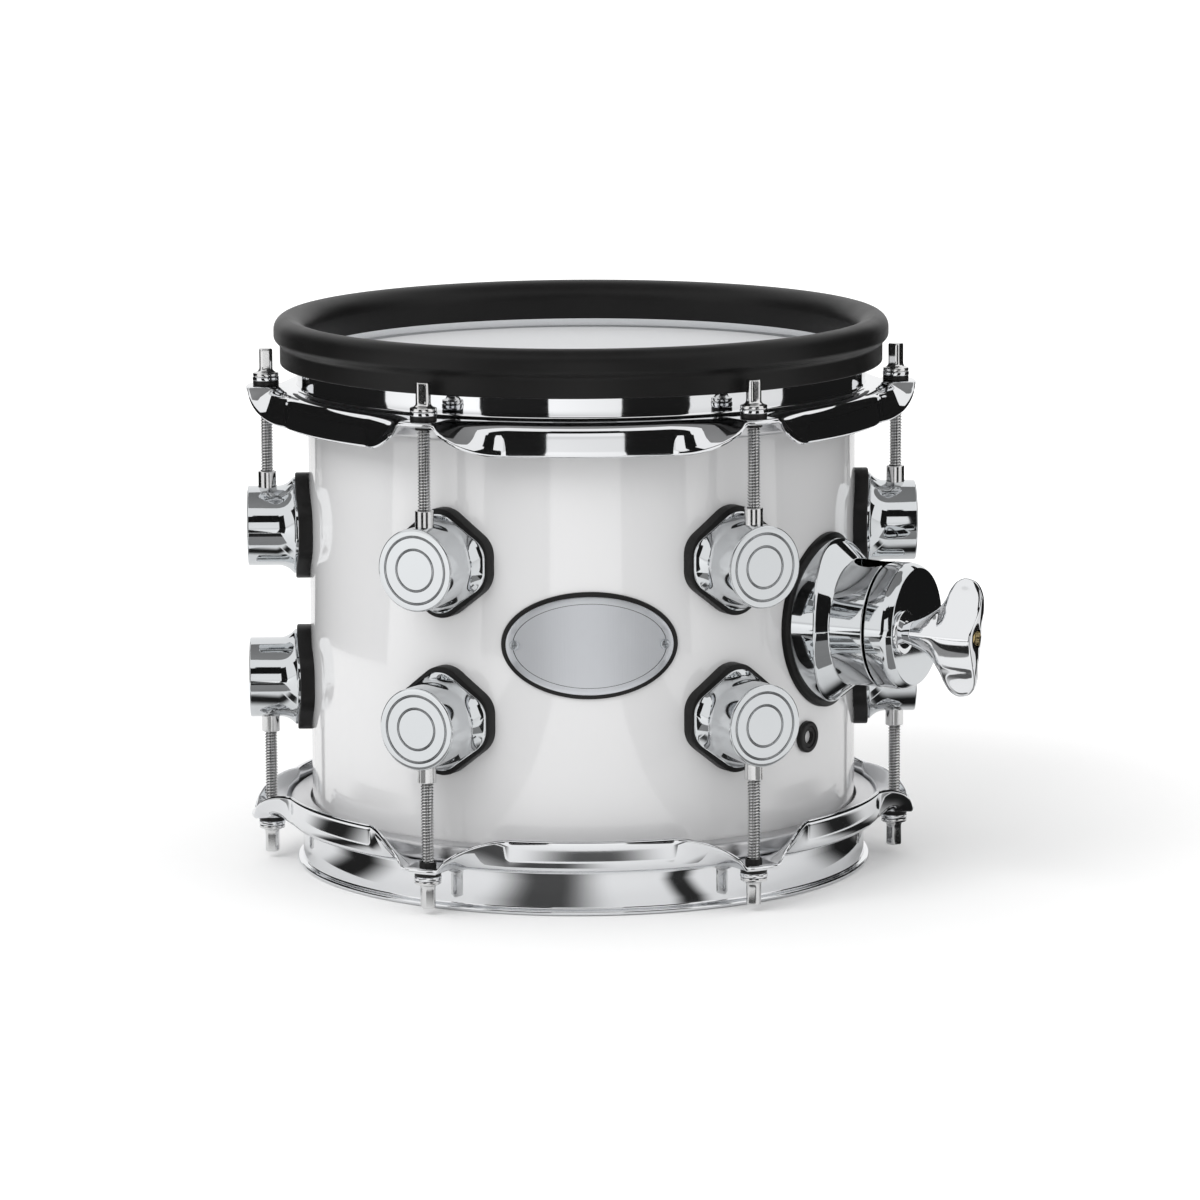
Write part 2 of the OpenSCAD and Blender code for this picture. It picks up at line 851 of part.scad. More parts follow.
module badge_screws() {
    seat = border_t + plate_t + 4 * run;
    head_d = badge_pin_d * 1.8;
    head_h = badge_pin_d * 0.4;
    depth = shell_wall - 2;
    color("silver")
        badge_pin_place() {
            translate([0, 0, seat])
                cylinder(d1 = head_d, d2 = badge_pin_d, h = head_h);
            translate([0, 0, -depth])
                cylinder(d = badge_pin_d, h = depth + seat + run);
        }
}

// Bracket: a cast neck on an oval foot, with half of the tube's hole and the clamp's fixed stud
module bracket_gasket() {
    color([0.1, 0.1, 0.1])
        difference() {
            intersection() {
                cylinder(r = foot_back - run, h = 2 * mid_z);
                on_wall(bracket_a, mid_z)
                    translate([0, 0, shell_r / 2])
                        linear_extrude(shell_r)
                            polygon(oval(foot_w + 2 * foot_gasket_rim, foot_h + 2 * foot_gasket_rim));
            }
            translate([0, 0, -1])
                cylinder(r = shell_r + run, h = 2 * mid_z + 2);
            on_wall(bracket_a, mid_z)
                for (y = [-1, 1])
                    translate([0, y * bolt_up, inner_r])
                        cylinder(d = bolt_d + 2 * fit, h = shell_r);
        }
}

module tube_hole() {
    translate([0, 0, tube_s])
        rotate([90, 0, 0])
            cylinder(r = tube_bore_r, h = 2 * neck_d, center = true);
}

module bracket_base() {
    reach = foot_h / 2 + 4;
    color("gainsboro")
        difference() {
            on_wall(bracket_a, mid_z)
                difference() {
                    intersection() {
                        ring_section([
                            [0, drill_s], [reach, drill_s],
                            [reach, neck_s - cone_slope * (reach - neck_r)],
                            [neck_r, neck_s], [neck_r, split_s], [0, split_s]
                        ]);
                        translate([0, 0, drill_s - 1])
                            linear_extrude(shell_r)
                                polygon(oval(foot_w, foot_h));
                    }
                    tube_hole();
                    translate([-stud_off, 0, stud_root])
                        cylinder(d = stud_d + 2 * run, h = neck_len);
                    translate([stud_off, 0, stud_root])
                        cylinder(d = pin_d + 2 * run, h = neck_len);
                    for (y = [-1, 1])
                        translate([0, y * bolt_up, 0])
                            cylinder(d = bolt_d + 2 * run, h = bolt_tip + 2 * fit);
                }
            translate([0, 0, -1])
                cylinder(r = foot_back, h = 2 * mid_z + 2);
        }
}

module bracket_jaw() {
    bevel_in = 2.2;
    color("gainsboro")
        on_wall(bracket_a, mid_z)
            difference() {
                ring_section(concat(
                    [[0, jaw_s], [neck_r, jaw_s]],
                    [for (k = [0:6]) [
                        neck_r - bevel_in * (1 - cos(15 * k)),
                        jaw_end - jaw_bevel + jaw_bevel * sin(15 * k)
                    ]],
                    [[0, jaw_end]]
                ));
                tube_hole();
                translate([-stud_off, 0, jaw_s - 1])
                    cylinder(d = stud_d + 4 * fit, h = jaw_len + 2);
                translate([stud_off, 0, jaw_s - 1])
                    cylinder(d = pin_d + 4 * fit, h = pin_tip + 2 - jaw_s);
            }
}

module bracket_stud() {
    color("goldenrod")
        on_wall(bracket_a, mid_z)
            translate([-stud_off, 0, stud_root])
                cylinder(d = stud_d, h = jaw_end + stud_out - stud_root);
}

module bracket_guide_pin() {
    color("silver")
        on_wall(bracket_a, mid_z)
            translate([stud_off, 0, stud_root])
                cylinder(d = pin_d, h = pin_tip - stud_root);
}

module wing_ring() {
    color("silver")
        on_wall(bracket_a, mid_z)
            translate([-stud_off, 0, jaw_end])
                difference() {
                    union() {
                        cylinder(d = ring_d, h = ring_t / 2);
                        translate([0, 0, ring_t / 2])
                            cylinder(d1 = ring_d, d2 = ring_d - ring_t, h = ring_t / 2);
                    }
                    translate([0, 0, -1])
                        cylinder(d = stud_d + 4 * fit, h = ring_t + 2);
                }
}

// Wing nut: two wings that stand aside opposite ways seen from the end, on a hub that narrows to its
// root. Its side is a bell with a hollow end, its end an S that tapers to the tips.

function wing_side() =
    let (
        tip = wing_w / 2,
        round = 7,
        rise = [for (p = curve(bell, 3)) [p[0] * wing_len, p[1] * tip]],
        corner = arc([wing_len - round, tip - round], round, 60, 0, 4),
        hub_back = 1.8,
        hollow = [for (u = [0.75, 0.5, 0.25, 0])
            [wing_len - hub_back * (1 - ease(u)), (tip - round) * u]],
        half = concat(rise, corner, hollow)
    )
    concat(half, [for (i = [len(half) - 2:-1:0]) [half[i][0], -half[i][1]]]);

// How far the middle of a wing stands aside at a distance from the hub's axis
function wing_lean(y) = 3.1 * sign(y) * ease(abs(y) / wing_w / 0.28);

// Half thickness of the wing there, swelling into the hub
function wing_half(y) =
    wing_t / 2 + (hub_d - wing_t) / 2 * exp(-pow(y / wing_w / 0.217, 2));

function wing_end() =
    let (n = 12, ys = [for (k = [-n:n]) wing_w / 2 * k / n])
    concat(
        [for (y = ys) [wing_lean(y) + wing_half(y), y]],
        [for (i = [2 * n:-1:0]) [wing_lean(ys[i]) - wing_half(ys[i]), ys[i]]]
    );

module wing_nut() {
    color("gainsboro")
        on_wall(bracket_a, mid_z)
            translate([-stud_off, 0, wing_s])
                difference() {
                    intersection() {
                        linear_extrude(wing_len)
                            polygon(wing_end());
                        translate([-hub_d * 2, 0, 0])
                            rotate([90, 0, 90])
                                linear_extrude(hub_d * 4)
                                    polygon([for (p = wing_side()) [p[1], p[0]]]);
                    }
                    translate([0, 0, -1])
                        cylinder(d = stud_d + 2 * run, h = wing_len + 2);
                }
}

module bracket_backing_plate() {
    w = 30;
    h = 2 * bolt_up + 18;
    color("silver")
        difference() {
            intersection() {
                cylinder(r = inner_r - run, h = 2 * mid_z);
                on_wall(bracket_a, mid_z)
                    translate([-w / 2, -h / 2, drill_s])
                        cube([w, h, shell_r]);
            }
            translate([0, 0, -1])
                cylinder(r = inner_r - run - backing_t, h = 2 * mid_z + 2);
            on_wall(bracket_a, mid_z)
                for (y = [-1, 1])
                    translate([0, y * bolt_up, drill_s])
                        cylinder(d = bolt_d + 2 * fit, h = shell_r);
        }
}

module bracket_bolts() {
    across = bolt_d * 1.9;
    head_h = bolt_d * 0.65;
    seat = sqrt(pow(inner_r - run - backing_t, 2) - pow(across / 2, 2)) - fit;
    color("dimgray")
        on_wall(bracket_a, mid_z)
            for (y = [-1, 1])
                translate([0, y * bolt_up, 0]) {
                    translate([0, 0, seat - head_h])
                        cylinder(d = across, h = head_h, $fn = 6);
                    translate([0, 0, seat - fit])
                        cylinder(d = bolt_d, h = bolt_tip - seat);
                }
}

// Jack: a threaded barrel with its contact box inside, held by a ring outside
module jack_body() {
    floor_t = 3;
    mouth = shell_r + 2;
    color([0.15, 0.15, 0.15])
        on_wall(jack_a, jack_z)
            difference() {
                union() {
                    translate([-jack_box / 2, -jack_box / 2, jack_box_s - jack_box_len])
                        cube([jack_box, jack_box, jack_box_len]);
                    translate([0, 0, jack_box_s - 1])
                        cylinder(d = barrel_d, h = mouth - jack_box_s + 1);
                }
                translate([0, 0, jack_box_s - jack_box_len + floor_t])
                    cylinder(d = jack_bore_d, h = shell_r);
            }
}

module jack_ring() {
    bore_r = barrel_d / 2 + run;
    rim_r = jack_ring_d / 2;
    h = 2.4;
    color([0.12, 0.11, 0.1])
        on_wall(jack_a, jack_z)
            translate([0, 0, shell_r + run])
                ring_section([
                    [bore_r, 0], [rim_r, 0], [rim_r, h / 2], [rim_r - 1, h], [bore_r, h]
                ]);
}

// Trigger: a bar across the shell, a plate on four rubber posts, and a foam cone up to the head
function holds_bridge(a) = a == bridge_a || a == bridge_a + 180;

module trigger_bridge() {
    tab_low = upper_z - 9;
    color("silver")
        difference() {
            for (turn = [0, 180])
                on_wall(bridge_a + turn, 0) {
                    translate([-bridge_w / 2, tab_low, tab_s - bridge_t])
                        cube([bridge_w, bridge_z + bridge_t - tab_low, bridge_t]);
                    translate([-bridge_w / 2, bridge_z, -1])
                        cube([bridge_w, bridge_t, tab_s + 1 - bridge_t / 2]);
                }
            for (turn = [0, 180])
                on_wall(bridge_a + turn, upper_z)
                    for (x = [-1, 1])
                        translate([x * lug_screw_x, 0, drill_s])
                            cylinder(d = lug_screw_d + 2 * fit, h = shell_r);
        }
}

module trigger_isolators() {
    along = trigger_plate_d / 2 - post_d;
    color([0.15, 0.15, 0.15])
        for (x = [-1, 1], y = [-1, 1])
            rotate([0, 0, bridge_a + 90])
                translate([x * along, y * post_side, bridge_z + bridge_t])
                    cylinder(d = post_d, h = post_h);
}

module trigger_plate() {
    color("silver")
        translate([0, 0, plate_z])
            cylinder(d = trigger_plate_d, h = trigger_plate_t);
}

// Foam pad with the brass disc on it
module trigger_piezo() {
    color("goldenrod")
        translate([0, 0, plate_z + trigger_plate_t])
            cylinder(d = piezo_d, h = tape_t + piezo_t);
}

module trigger_cone() {
    color("dimgray")
        translate([0, 0, cone_z])
            cylinder(d1 = cone_foot_d, d2 = cone_tip_d, h = high_edge - cone_z);
}

module rim_piezo() {
    d = 27;
    past_plate = 22;
    color("goldenrod")
        rotate([0, 0, bridge_a + 90])
            translate([trigger_plate_d / 2 + past_plate, 0, bridge_z + bridge_t])
                cylinder(d = d, h = tape_t);
}

module wiring() {
    d = 2.6;
    sides = 8;
    out = [sin(jack_a), -cos(jack_a), 0];
    jack_end = (jack_box_s - jack_box_len - fit) * out + [0, 0, jack_z];
    plate_end = [0, -trigger_plate_d / 2, plate_z];
    route = [
        plate_end + [0, -1, 1],
        plate_end + [4, -12, -4],
        plate_end + [20, -18, -30],
        [40, plate_end[1] - 16, mid_z + 5],
        jack_end + [-10, 12, 18],
        jack_end - 12 * out + [0, 0, 2],
        jack_end
    ];
    path = curve(route, 5);
    color("dimgray")
        polyhedron(tube_points(path, d / 2, sides), tube_faces(len(path), sides));
}

shell();
batter_mesh();
batter_flesh_hoop();
batter_hoop();
hoop_rubber();
resonant_head();
resonant_flesh_hoop();
resonant_hoop();
batter_lugs();
resonant_lugs();
lug_gaskets();
lug_nuts();
lug_screws();
batter_rod_bushes();
resonant_rod_bushes();
for (i = [1:lug_count]) {
    batter_rod(i);
    batter_washer(i);
    resonant_rod(i);
    resonant_washer(i);
}
badge_border();
badge_plate();
badge_screws();
bracket_gasket();
bracket_base();
bracket_jaw();
bracket_stud();
bracket_guide_pin();
wing_ring();
wing_nut();
bracket_backing_plate();
bracket_bolts();
jack_body();
jack_ring();
trigger_bridge();
trigger_isolators();
trigger_plate();
trigger_piezo();
trigger_cone();
rim_piezo();
wiring();
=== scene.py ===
import math

import bpy
import numpy as np
from mathutils import Matrix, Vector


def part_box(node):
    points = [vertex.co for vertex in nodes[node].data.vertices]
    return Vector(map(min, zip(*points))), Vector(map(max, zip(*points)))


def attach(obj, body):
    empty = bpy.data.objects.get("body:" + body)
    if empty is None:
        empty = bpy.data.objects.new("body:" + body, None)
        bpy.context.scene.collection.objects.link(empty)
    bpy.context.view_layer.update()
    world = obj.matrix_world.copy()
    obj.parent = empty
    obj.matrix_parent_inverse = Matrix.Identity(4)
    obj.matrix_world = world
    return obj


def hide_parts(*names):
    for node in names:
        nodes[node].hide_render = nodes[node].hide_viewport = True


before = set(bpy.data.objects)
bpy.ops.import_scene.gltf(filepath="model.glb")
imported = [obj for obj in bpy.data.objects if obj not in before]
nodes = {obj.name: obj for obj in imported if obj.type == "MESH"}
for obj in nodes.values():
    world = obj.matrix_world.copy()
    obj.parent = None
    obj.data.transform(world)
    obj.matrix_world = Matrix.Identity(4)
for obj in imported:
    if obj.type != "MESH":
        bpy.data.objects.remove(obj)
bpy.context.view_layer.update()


# The shell is a tube of maple plies, lacquered white and polished outside and left bare inside.
# A bearing edge is cut on each end. Sizes of pieces are millimetres, which skin() makes metres, and
# those of the studio are metres.

def rounded(corners, steps=6, closed=True):
    """Outline through corners [x, y, r]. Each corner gives way to an arc of radius r that touches
    both of its sides: the arc's centre lies on the bisector, r / sin(half angle) from the corner."""
    corners = np.asarray(corners, float)
    p, r = corners[:, :2], corners[:, 2:]
    u, v = np.roll(p, 1, 0) - p, np.roll(p, -1, 0) - p
    u /= np.linalg.norm(u, axis=1, keepdims=True)
    v /= np.linalg.norm(v, axis=1, keepdims=True)
    half = np.arccos(np.clip((u * v).sum(1, keepdims=True), -1, 1)) / 2
    middle = (u + v) / np.linalg.norm(u + v, axis=1, keepdims=True)
    start = u * r / np.tan(half) - middle * r / np.sin(half)
    end = v * r / np.tan(half) - middle * r / np.sin(half)
    sweep = np.arctan2(start[:, 0] * end[:, 1] - start[:, 1] * end[:, 0], (start * end).sum(1))
    turn = np.arctan2(start[:, 1], start[:, 0])[:, None] + sweep[:, None] * np.linspace(0, 1, steps)
    centre = p + middle * r / np.sin(half)
    arcs = centre[:, None] + r[:, None] * np.stack([np.cos(turn), np.sin(turn)], -1)
    if closed:
        return arcs.reshape(-1, 2)
    return np.concatenate([p[:1], arcs[1:-1].reshape(-1, 2), p[-1:]])


def turned(profile, sides=192):
    """Rings of a profile [r, z] turned about the Z axis."""
    a = np.arange(sides) * 2 * np.pi / sides
    r, z = profile[:, :1], profile[:, 1:]
    return np.stack([r * np.cos(a), r * np.sin(a), z + 0 * a], -1)


def skin(name, shells, joined=False, crease=32):
    """Piece made of one or more skins, each an array of closed rings: quads join neighbouring rings.
    Joined, the last ring meets the first. Otherwise a fan on its middle closes each end ring.
    The sign of the enclosed volume turns every face outwards."""
    points, faces, count = [], [], 0
    for rings in shells:
        n, m = rings.shape[:2]
        row = np.arange(n if joined else n - 1)[:, None] * m
        here = np.arange(m)
        ahead = (here + 1) % m
        up = (row + m) % (n * m)
        quads = np.stack([row + here, row + ahead, up + ahead, up + here], -1).reshape(-1, 4)
        body, fans = rings.reshape(-1, 3), np.empty((0, 3), int)
        if not joined:
            body = np.concatenate([body, rings[0].mean(0)[None], rings[-1].mean(0)[None]])
            last = (n - 1) * m
            fans = np.concatenate([
                np.stack([ahead, here, 0 * here + n * m], -1),
                np.stack([here + last, ahead + last, 0 * here + n * m + 1], -1),
            ])
        a, b, c = body[np.concatenate([quads[:, :3], quads[:, [0, 2, 3]], fans])].transpose(1, 0, 2)
        way = 1 if (a * np.cross(b, c)).sum() > 0 else -1
        faces += (quads[:, ::way] + count).tolist() + (fans[:, ::way] + count).tolist()
        points.append(body)
        count += len(body)
    mesh = bpy.data.meshes.new(name)
    mesh.from_pydata(np.concatenate(points) * 0.001, [], faces)
    mesh.shade_smooth()
    mesh.set_sharp_from_angle(angle=math.radians(crease))
    piece = bpy.data.objects.new(name, mesh)
    bpy.context.scene.collection.objects.link(piece)
    return piece


def node(tree, kind, inputs=None, **settings):
    """New shader node. An input is a plain value or the socket that feeds it."""
    made = tree.nodes.new(kind)
    for key, value in settings.items():
        setattr(made, key, value)
    for key, value in (inputs or {}).items():
        if isinstance(value, bpy.types.NodeSocket):
            tree.links.new(value, made.inputs[key])
        else:
            made.inputs[key].default_value = value
    return made


def finish(name, colour, rough, metal=0.0, tint=0.04, swing=0.06, spots=60.0, grain=900.0,
           relief=0.05, stretch=(1, 1, 1), **sockets):
    """Surface finish. Broad noise shifts colour and roughness a little, and fine noise gives relief.
    spots and grain are the two noises' scales per metre, stretch draws the fine one out."""
    material = bpy.data.materials.new(name)
    material.use_nodes = True
    tree = material.node_tree
    shader = tree.nodes["Principled BSDF"]
    place = node(tree, "ShaderNodeTexCoord").outputs["Object"]
    broad = node(tree, "ShaderNodeTexNoise", {"Vector": place, "Scale": spots, "Detail": 4.0})
    lines = node(tree, "ShaderNodeMapping", {"Vector": place, "Scale": stretch})
    fine = node(tree, "ShaderNodeTexNoise",
                {"Vector": lines.outputs["Vector"], "Scale": grain, "Detail": 3.0})
    shade = node(tree, "ShaderNodeMix", {
        "Factor": broad.outputs["Fac"],
        "A": (*[c * (1 - tint) for c in colour], 1),
        "B": (*[min(1, c * (1 + tint)) for c in colour], 1),
    }, data_type="RGBA")
    gloss = node(tree, "ShaderNodeMapRange", {
        "Value": broad.outputs["Fac"], "To Min": max(0.02, rough - swing), "To Max": rough + swing,
    })
    bumps = node(tree, "ShaderNodeBump",
                 {"Height": fine.outputs["Fac"], "Strength": relief, "Distance": 0.0005})
    tree.links.new(shade.outputs["Result"], shader.inputs["Base Color"])
    tree.links.new(gloss.outputs["Result"], shader.inputs["Roughness"])
    tree.links.new(bumps.outputs["Normal"], shader.inputs["Normal"])
    shader.inputs["Metallic"].default_value = metal
    for key, value in sockets.items():
        shader.inputs[key.replace("_", " ")].default_value = value
    return material


def fit(piece, material, body, slot, *replaced):
    """The piece takes its finish, rides on its body and stands for its CAD nodes."""
    piece.data.materials.append(material)
    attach(piece, body)
    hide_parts(*replaced)


def dress(material, *names):
    """CAD nodes whose shape is right keep it and take a finish."""
    for name in names:
        nodes[name].data.materials.clear()
        nodes[name].data.materials.append(material)


def face_middles(piece):
    """Middles of the piece's faces in millimetres, as rows of x, y and z."""
    middles = np.empty(len(piece.data.polygons) * 3)
    piece.data.polygons.foreach_get("center", middles)
    return 1000 * middles.reshape(-1, 3).T


def second_finish(piece, material, faces):
    """Gives the chosen faces of a piece another finish than its first."""
    piece.data.materials.append(material)
    piece.data.polygons.foreach_set("material_index", faces.astype(np.int32))


def colour_over(material, share, colour, blend="MIX"):
    """Mixes a share of another colour over the finish's own. Both are plain values or sockets."""
    tree = material.node_tree
    base = tree.nodes["Principled BSDF"].inputs["Base Color"]
    mixed = node(tree, "ShaderNodeMix", {"Factor": share, "A": base.links[0].from_socket, "B": colour},
                 data_type="RGBA", blend_type=blend)
    tree.links.new(mixed.outputs["Result"], base)


shell_low, shell_high = 1000 * np.array(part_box("shell"))
shell_r = round(float(shell_high[0]), 2)
low_edge, high_edge = shell_low[2], shell_high[2]
mid_z = (low_edge + high_edge) / 2
shell_wall = 6.5
crest_cut = 1.6
crest_w = 0.8
lacquer_in = 0.4
inner_r = shell_r - shell_wall
crest_out = shell_r - crest_cut
crest_in = crest_out - crest_w
inside_cut = crest_in - inner_r

lacquer = finish("white_lacquer", (0.72, 0.72, 0.725), 0.10, tint=0.012, swing=0.03, spots=9.0,
                 grain=220.0, relief=0.012, Coat_Weight=0.8, Coat_Roughness=0.03)
maple = finish("bare_maple", (0.62, 0.44, 0.26), 0.55, tint=0.22, swing=0.1, spots=14.0,
               grain=160.0, relief=0.25, stretch=(1, 1, 14))

shell_profile = rounded([
    [inner_r, low_edge + inside_cut, 0.3], [crest_in, low_edge, 0.2], [crest_out, low_edge, 0.2],
    [shell_r, low_edge + crest_cut, 0.3], [shell_r, high_edge - crest_cut, 0.3],
    [crest_out, high_edge, 0.2], [crest_in, high_edge, 0.2], [inner_r, high_edge - inside_cut, 0.3],
])
shell = skin("shell_tube", [turned(shell_profile, 360)], joined=True)
fit(shell, lacquer, "drum", "white_lacquer", "shell")
second_finish(shell, maple, np.hypot(*face_middles(shell)[:2]) < shell_r - lacquer_in)


# Rubber gaskets lie between the lugs and the shell. Each is moulded to a six-sided outline with soft
# corners and is bent to the round shell.

def even(loop, count):
    """The same closed outline with count points at equal steps of its length."""
    ends = np.concatenate([loop, loop[:1]])
    run = np.concatenate([[0], np.cumsum(np.linalg.norm(np.diff(ends, axis=0), axis=1))])
    at = np.arange(count) / count * run[-1]
    return np.stack([np.interp(at, run, ends[:, 0]), np.interp(at, run, ends[:, 1])], -1)


def foot_outline(w, h, count=120):
    """Six-sided foot of a lug: upright sides, a blunt corner above and below."""
    half, apex = w / 2, h / 2
    side, soft = 0.343 * apex, 0.428 * apex
    return even(rounded([
        [half, -side, soft], [half, side, soft], [0, apex, soft],
        [-half, side, soft], [-half, -side, soft], [0, -apex, soft],
    ], 9), count)


def on_wall(p, angle, z):
    """From the wall's own frame, x along it, y up and s out from the drum's axis, to the drum's frame."""
    x, y, s = np.moveaxis(p, -1, 0)
    c, n = math.cos(math.radians(angle)), math.sin(math.radians(angle))
    return np.stack([x * c + s * n, x * n - s * c, y + z], -1)


def bent_plate(outline, inside, outside, edge):
    """Plate bent to a round wall: rings of one outline, drawn in to its middle, lie on a cylinder of
    radius inside at the back and outside at the front, and edge rounds the front's rim."""
    shrink = np.linspace(0.04, 1, 14)
    far = np.linalg.norm(outline, axis=1)
    rim = 1 - edge / far
    scale = np.concatenate([
        shrink[:, None] + 0 * far, (1 + 0 * far)[None], ((1 + rim) / 2 + 0.2 * edge / far)[None],
        shrink[::-1, None] * rim,
    ])
    level = np.concatenate([
        np.full(len(shrink), inside), [outside - edge, outside - 0.3 * edge],
        np.full(len(shrink), outside),
    ])[:, None]
    xy = scale[..., None] * outline
    return np.concatenate([xy, np.sqrt(level ** 2 - xy[..., 0] ** 2)[..., None]], -1)


rubber = finish("black_rubber", (0.008, 0.0078, 0.0078), 0.40, tint=0.3, swing=0.08, spots=45.0,
                grain=2600.0, relief=0.10, Specular_IOR_Level=0.22)

rod_count = 6
rod_step = 360 / rod_count
rod_angles = (np.arange(rod_count) + 0.5) * rod_step
lug_box = 1000 * np.array(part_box("batter_lugs"))
upper_z = (lug_box[0, 2] + lug_box[1, 2]) / 2
lower_z = 2 * mid_z - upper_z
lug_rows = [(a, z) for z in (upper_z, lower_z) for a in rod_angles]
lug_foot_w = 44.8
lug_foot_h = 1.121 * lug_foot_w
gasket_side, gasket_rim = 0.9, 3.0
gasket_t, gasket_soft = 6.4, 0.7
contact_gap = 0.05
shell_seat = shell_r + contact_gap
foot_s = shell_r + gasket_t

gasket = bent_plate(foot_outline(lug_foot_w + 2 * gasket_side, lug_foot_h + 2 * gasket_rim),
                    shell_seat, foot_s, gasket_soft)
lug_gaskets = skin("lug_gasket_set", [on_wall(gasket, a, z) for a, z in lug_rows])
fit(lug_gaskets, rubber, "drum", "black_rubber", "lug_gaskets")


# The lugs are zinc castings, chromed: a round barrel flares to a six-sided foot bent to the shell, and
# two rings are turned in its face. Two screws from inside the shell hold each one.

def cut(piece, cutters):
    """Takes the cutters' solids out of the piece for good."""
    tool = skin("cutter", cutters)
    taken = piece.modifiers.new("cut", "BOOLEAN")
    taken.solver, taken.object = "EXACT", tool
    left = bpy.data.meshes.new_from_object(
        piece.evaluated_get(bpy.context.evaluated_depsgraph_get()))
    piece.modifiers.clear()
    left.name = piece.data.name
    piece.data = left
    left.set_sharp_from_angle(angle=math.radians(32))
    bpy.data.objects.remove(tool)


def bar(radius, low, high, sides=64):
    """Plain round bar along Z, as a cutter."""
    return turned(np.array([[radius, low], [radius, high]]), sides)


def lying(p, height):
    """A piece turned about Z, laid along the wall's y axis at a height over the drum's axis."""
    return np.stack([p[..., 0], p[..., 2], height - p[..., 1]], -1)


chrome = finish("chrome_plate", (0.80, 0.81, 0.825), 0.045, metal=1.0, tint=0.012, swing=0.02,
                spots=30.0, grain=55.0, relief=0.006)

cast_chrome = finish("cast_chrome", (0.67, 0.69, 0.705), 0.05, metal=1.0, tint=0.015, swing=0.02,
                     spots=30.0, grain=55.0, relief=0.006)
# Dark chrome for the bottoms of the two grooves in each lug's face: painted shade in the grooves.
painted_groove_shade = finish("painted_groove_shade", (0.30, 0.305, 0.31), 0.25, metal=1.0, tint=0.8, swing=0.05,
                       spots=160.0, grain=400.0, relief=0.02)
lug_r = 18.6
lug_foot_t = 1.2
lug_len, flare_len, flare_power = 22.0, 8.6, 2.3
flare_s = foot_s + flare_len
face_s = foot_s + lug_len
face_rim = 0.9 * lug_r
groove_half, groove_depth = 0.032 * lug_r, 0.9
rod_offset = 19.2
rod_r = shell_r + rod_offset
neck_hole_r = 4.4

foot = foot_outline(lug_foot_w, lug_foot_h)
foot_turn = np.arctan2(foot[:, 1], foot[:, 0])
foot_far = np.linalg.norm(foot, axis=1)
foot_edge = 0.35
back_r = np.array([0.05, 0.4, 0.75, 1])[:, None] * foot_far
edge_r = foot_far - foot_edge * np.array([0, 0.3])[:, None]
edge_s = np.sqrt((foot_s + lug_foot_t) ** 2 - foot[:, 0] ** 2)
fall = np.linspace(1, 0, 16)[:, None]
foot_side = np.stack([
    np.concatenate([back_r, edge_r]),
    np.concatenate([np.sqrt(foot_s ** 2 - (back_r * np.cos(foot_turn)) ** 2),
                    edge_s - foot_edge * np.array([1, 0.3])[:, None]]),
], -1)
flare = np.stack([lug_r + (foot_far - foot_edge - lug_r) * fall ** flare_power,
                  flare_s + (edge_s - flare_s) * fall], -1)
dip = np.linspace(0, np.pi, 9)
grooves = [np.stack([share * lug_r + groove_half * np.cos(dip), face_s - groove_depth * np.sin(dip)], -1)
           for share in (0.81, 0.50)]
barrel = np.concatenate([
    rounded([[lug_r, flare_s, 1], [lug_r, face_s, 0.7], [face_rim, face_s, 1]], 6, closed=False),
    *grooves, [[0.1 * lug_r, face_s]],
])
barrel = barrel[:, None] + 0 * flare[:1]
lug_profile = np.concatenate([foot_side, flare, barrel])
lug = np.stack([lug_profile[..., 0] * np.cos(foot_turn), lug_profile[..., 0] * np.sin(foot_turn),
                lug_profile[..., 1]], -1)
neck_hole = lying(bar(neck_hole_r, 10, 30), rod_r)
flip = np.array([1, -1, 1])
for name, z, way, cad in (("batter_lug_set", upper_z, 1, "batter_lugs"),
                          ("resonant_lug_set", lower_z, flip, "resonant_lugs")):
    lugs = skin(name, [on_wall(lug * way, a, z) for a in rod_angles])
    cut(lugs, [on_wall(neck_hole * way, a, z) for a in rod_angles])
    fit(lugs, cast_chrome, "drum", "chrome_plate", cad)
    x, y, up = face_middles(lugs)
    off = np.arctan2(x, -y) % np.radians(rod_step) - np.radians(rod_step / 2)
    out, aside = np.hypot(x, y) * np.cos(off), np.hypot(x, y) * np.sin(off)
    in_face = np.hypot(aside, up - z) < face_rim
    # Faces deep in the two grooves take the dark chrome, as shade painted into the grooves.
    painted_groove_faces = in_face & (out > face_s - groove_depth) & (out < face_s - 0.6 * groove_depth)
    second_finish(lugs, painted_groove_shade, painted_groove_faces)


# A swivel nut of plated steel sits in each lug. Its round neck stands out of the barrel towards the
# hoop, and the tension rod screws into it.

nickel = finish("nickel_steel", (0.75, 0.75, 0.75), 0.16, metal=1.0, tint=0.05, swing=0.06,
                spots=120.0, grain=1500.0, relief=0.02)

nut_bore_r, nut_r, nut_neck_r = 3.1, 5.2, 4.2
nut_start, nut_step, nut_end = -8.9, 13.9, 25.7
nut_profile = rounded([
    [nut_bore_r, nut_start, 0.2], [nut_r, nut_start, 0.3], [nut_r, nut_step, 0.3],
    [nut_neck_r, nut_step, 0.2], [nut_neck_r, nut_end, 0.45], [nut_bore_r, nut_end, 0.3],
])
nut = lying(turned(nut_profile, 48), rod_r)
nuts = skin("swivel_nut_set", [on_wall(nut * way, a, z) for z, way in ((upper_z, 1), (lower_z, flip))
                               for a in rod_angles], joined=True)
fit(nuts, nickel, "drum", "zinc_steel", "lug_nuts")


# The badge is an oval of brushed aluminium on a black border, both bent to the shell and held by two
# small cross-head screws. A thin dark line runs inside its rim.

def oval(w, h, count=160):
    """Oval outline with count points at equal steps of its length."""
    a = np.arange(count) * 2 * np.pi / count
    return even(np.stack([w / 2 * np.cos(a), h / 2 * np.sin(a)], -1), count)


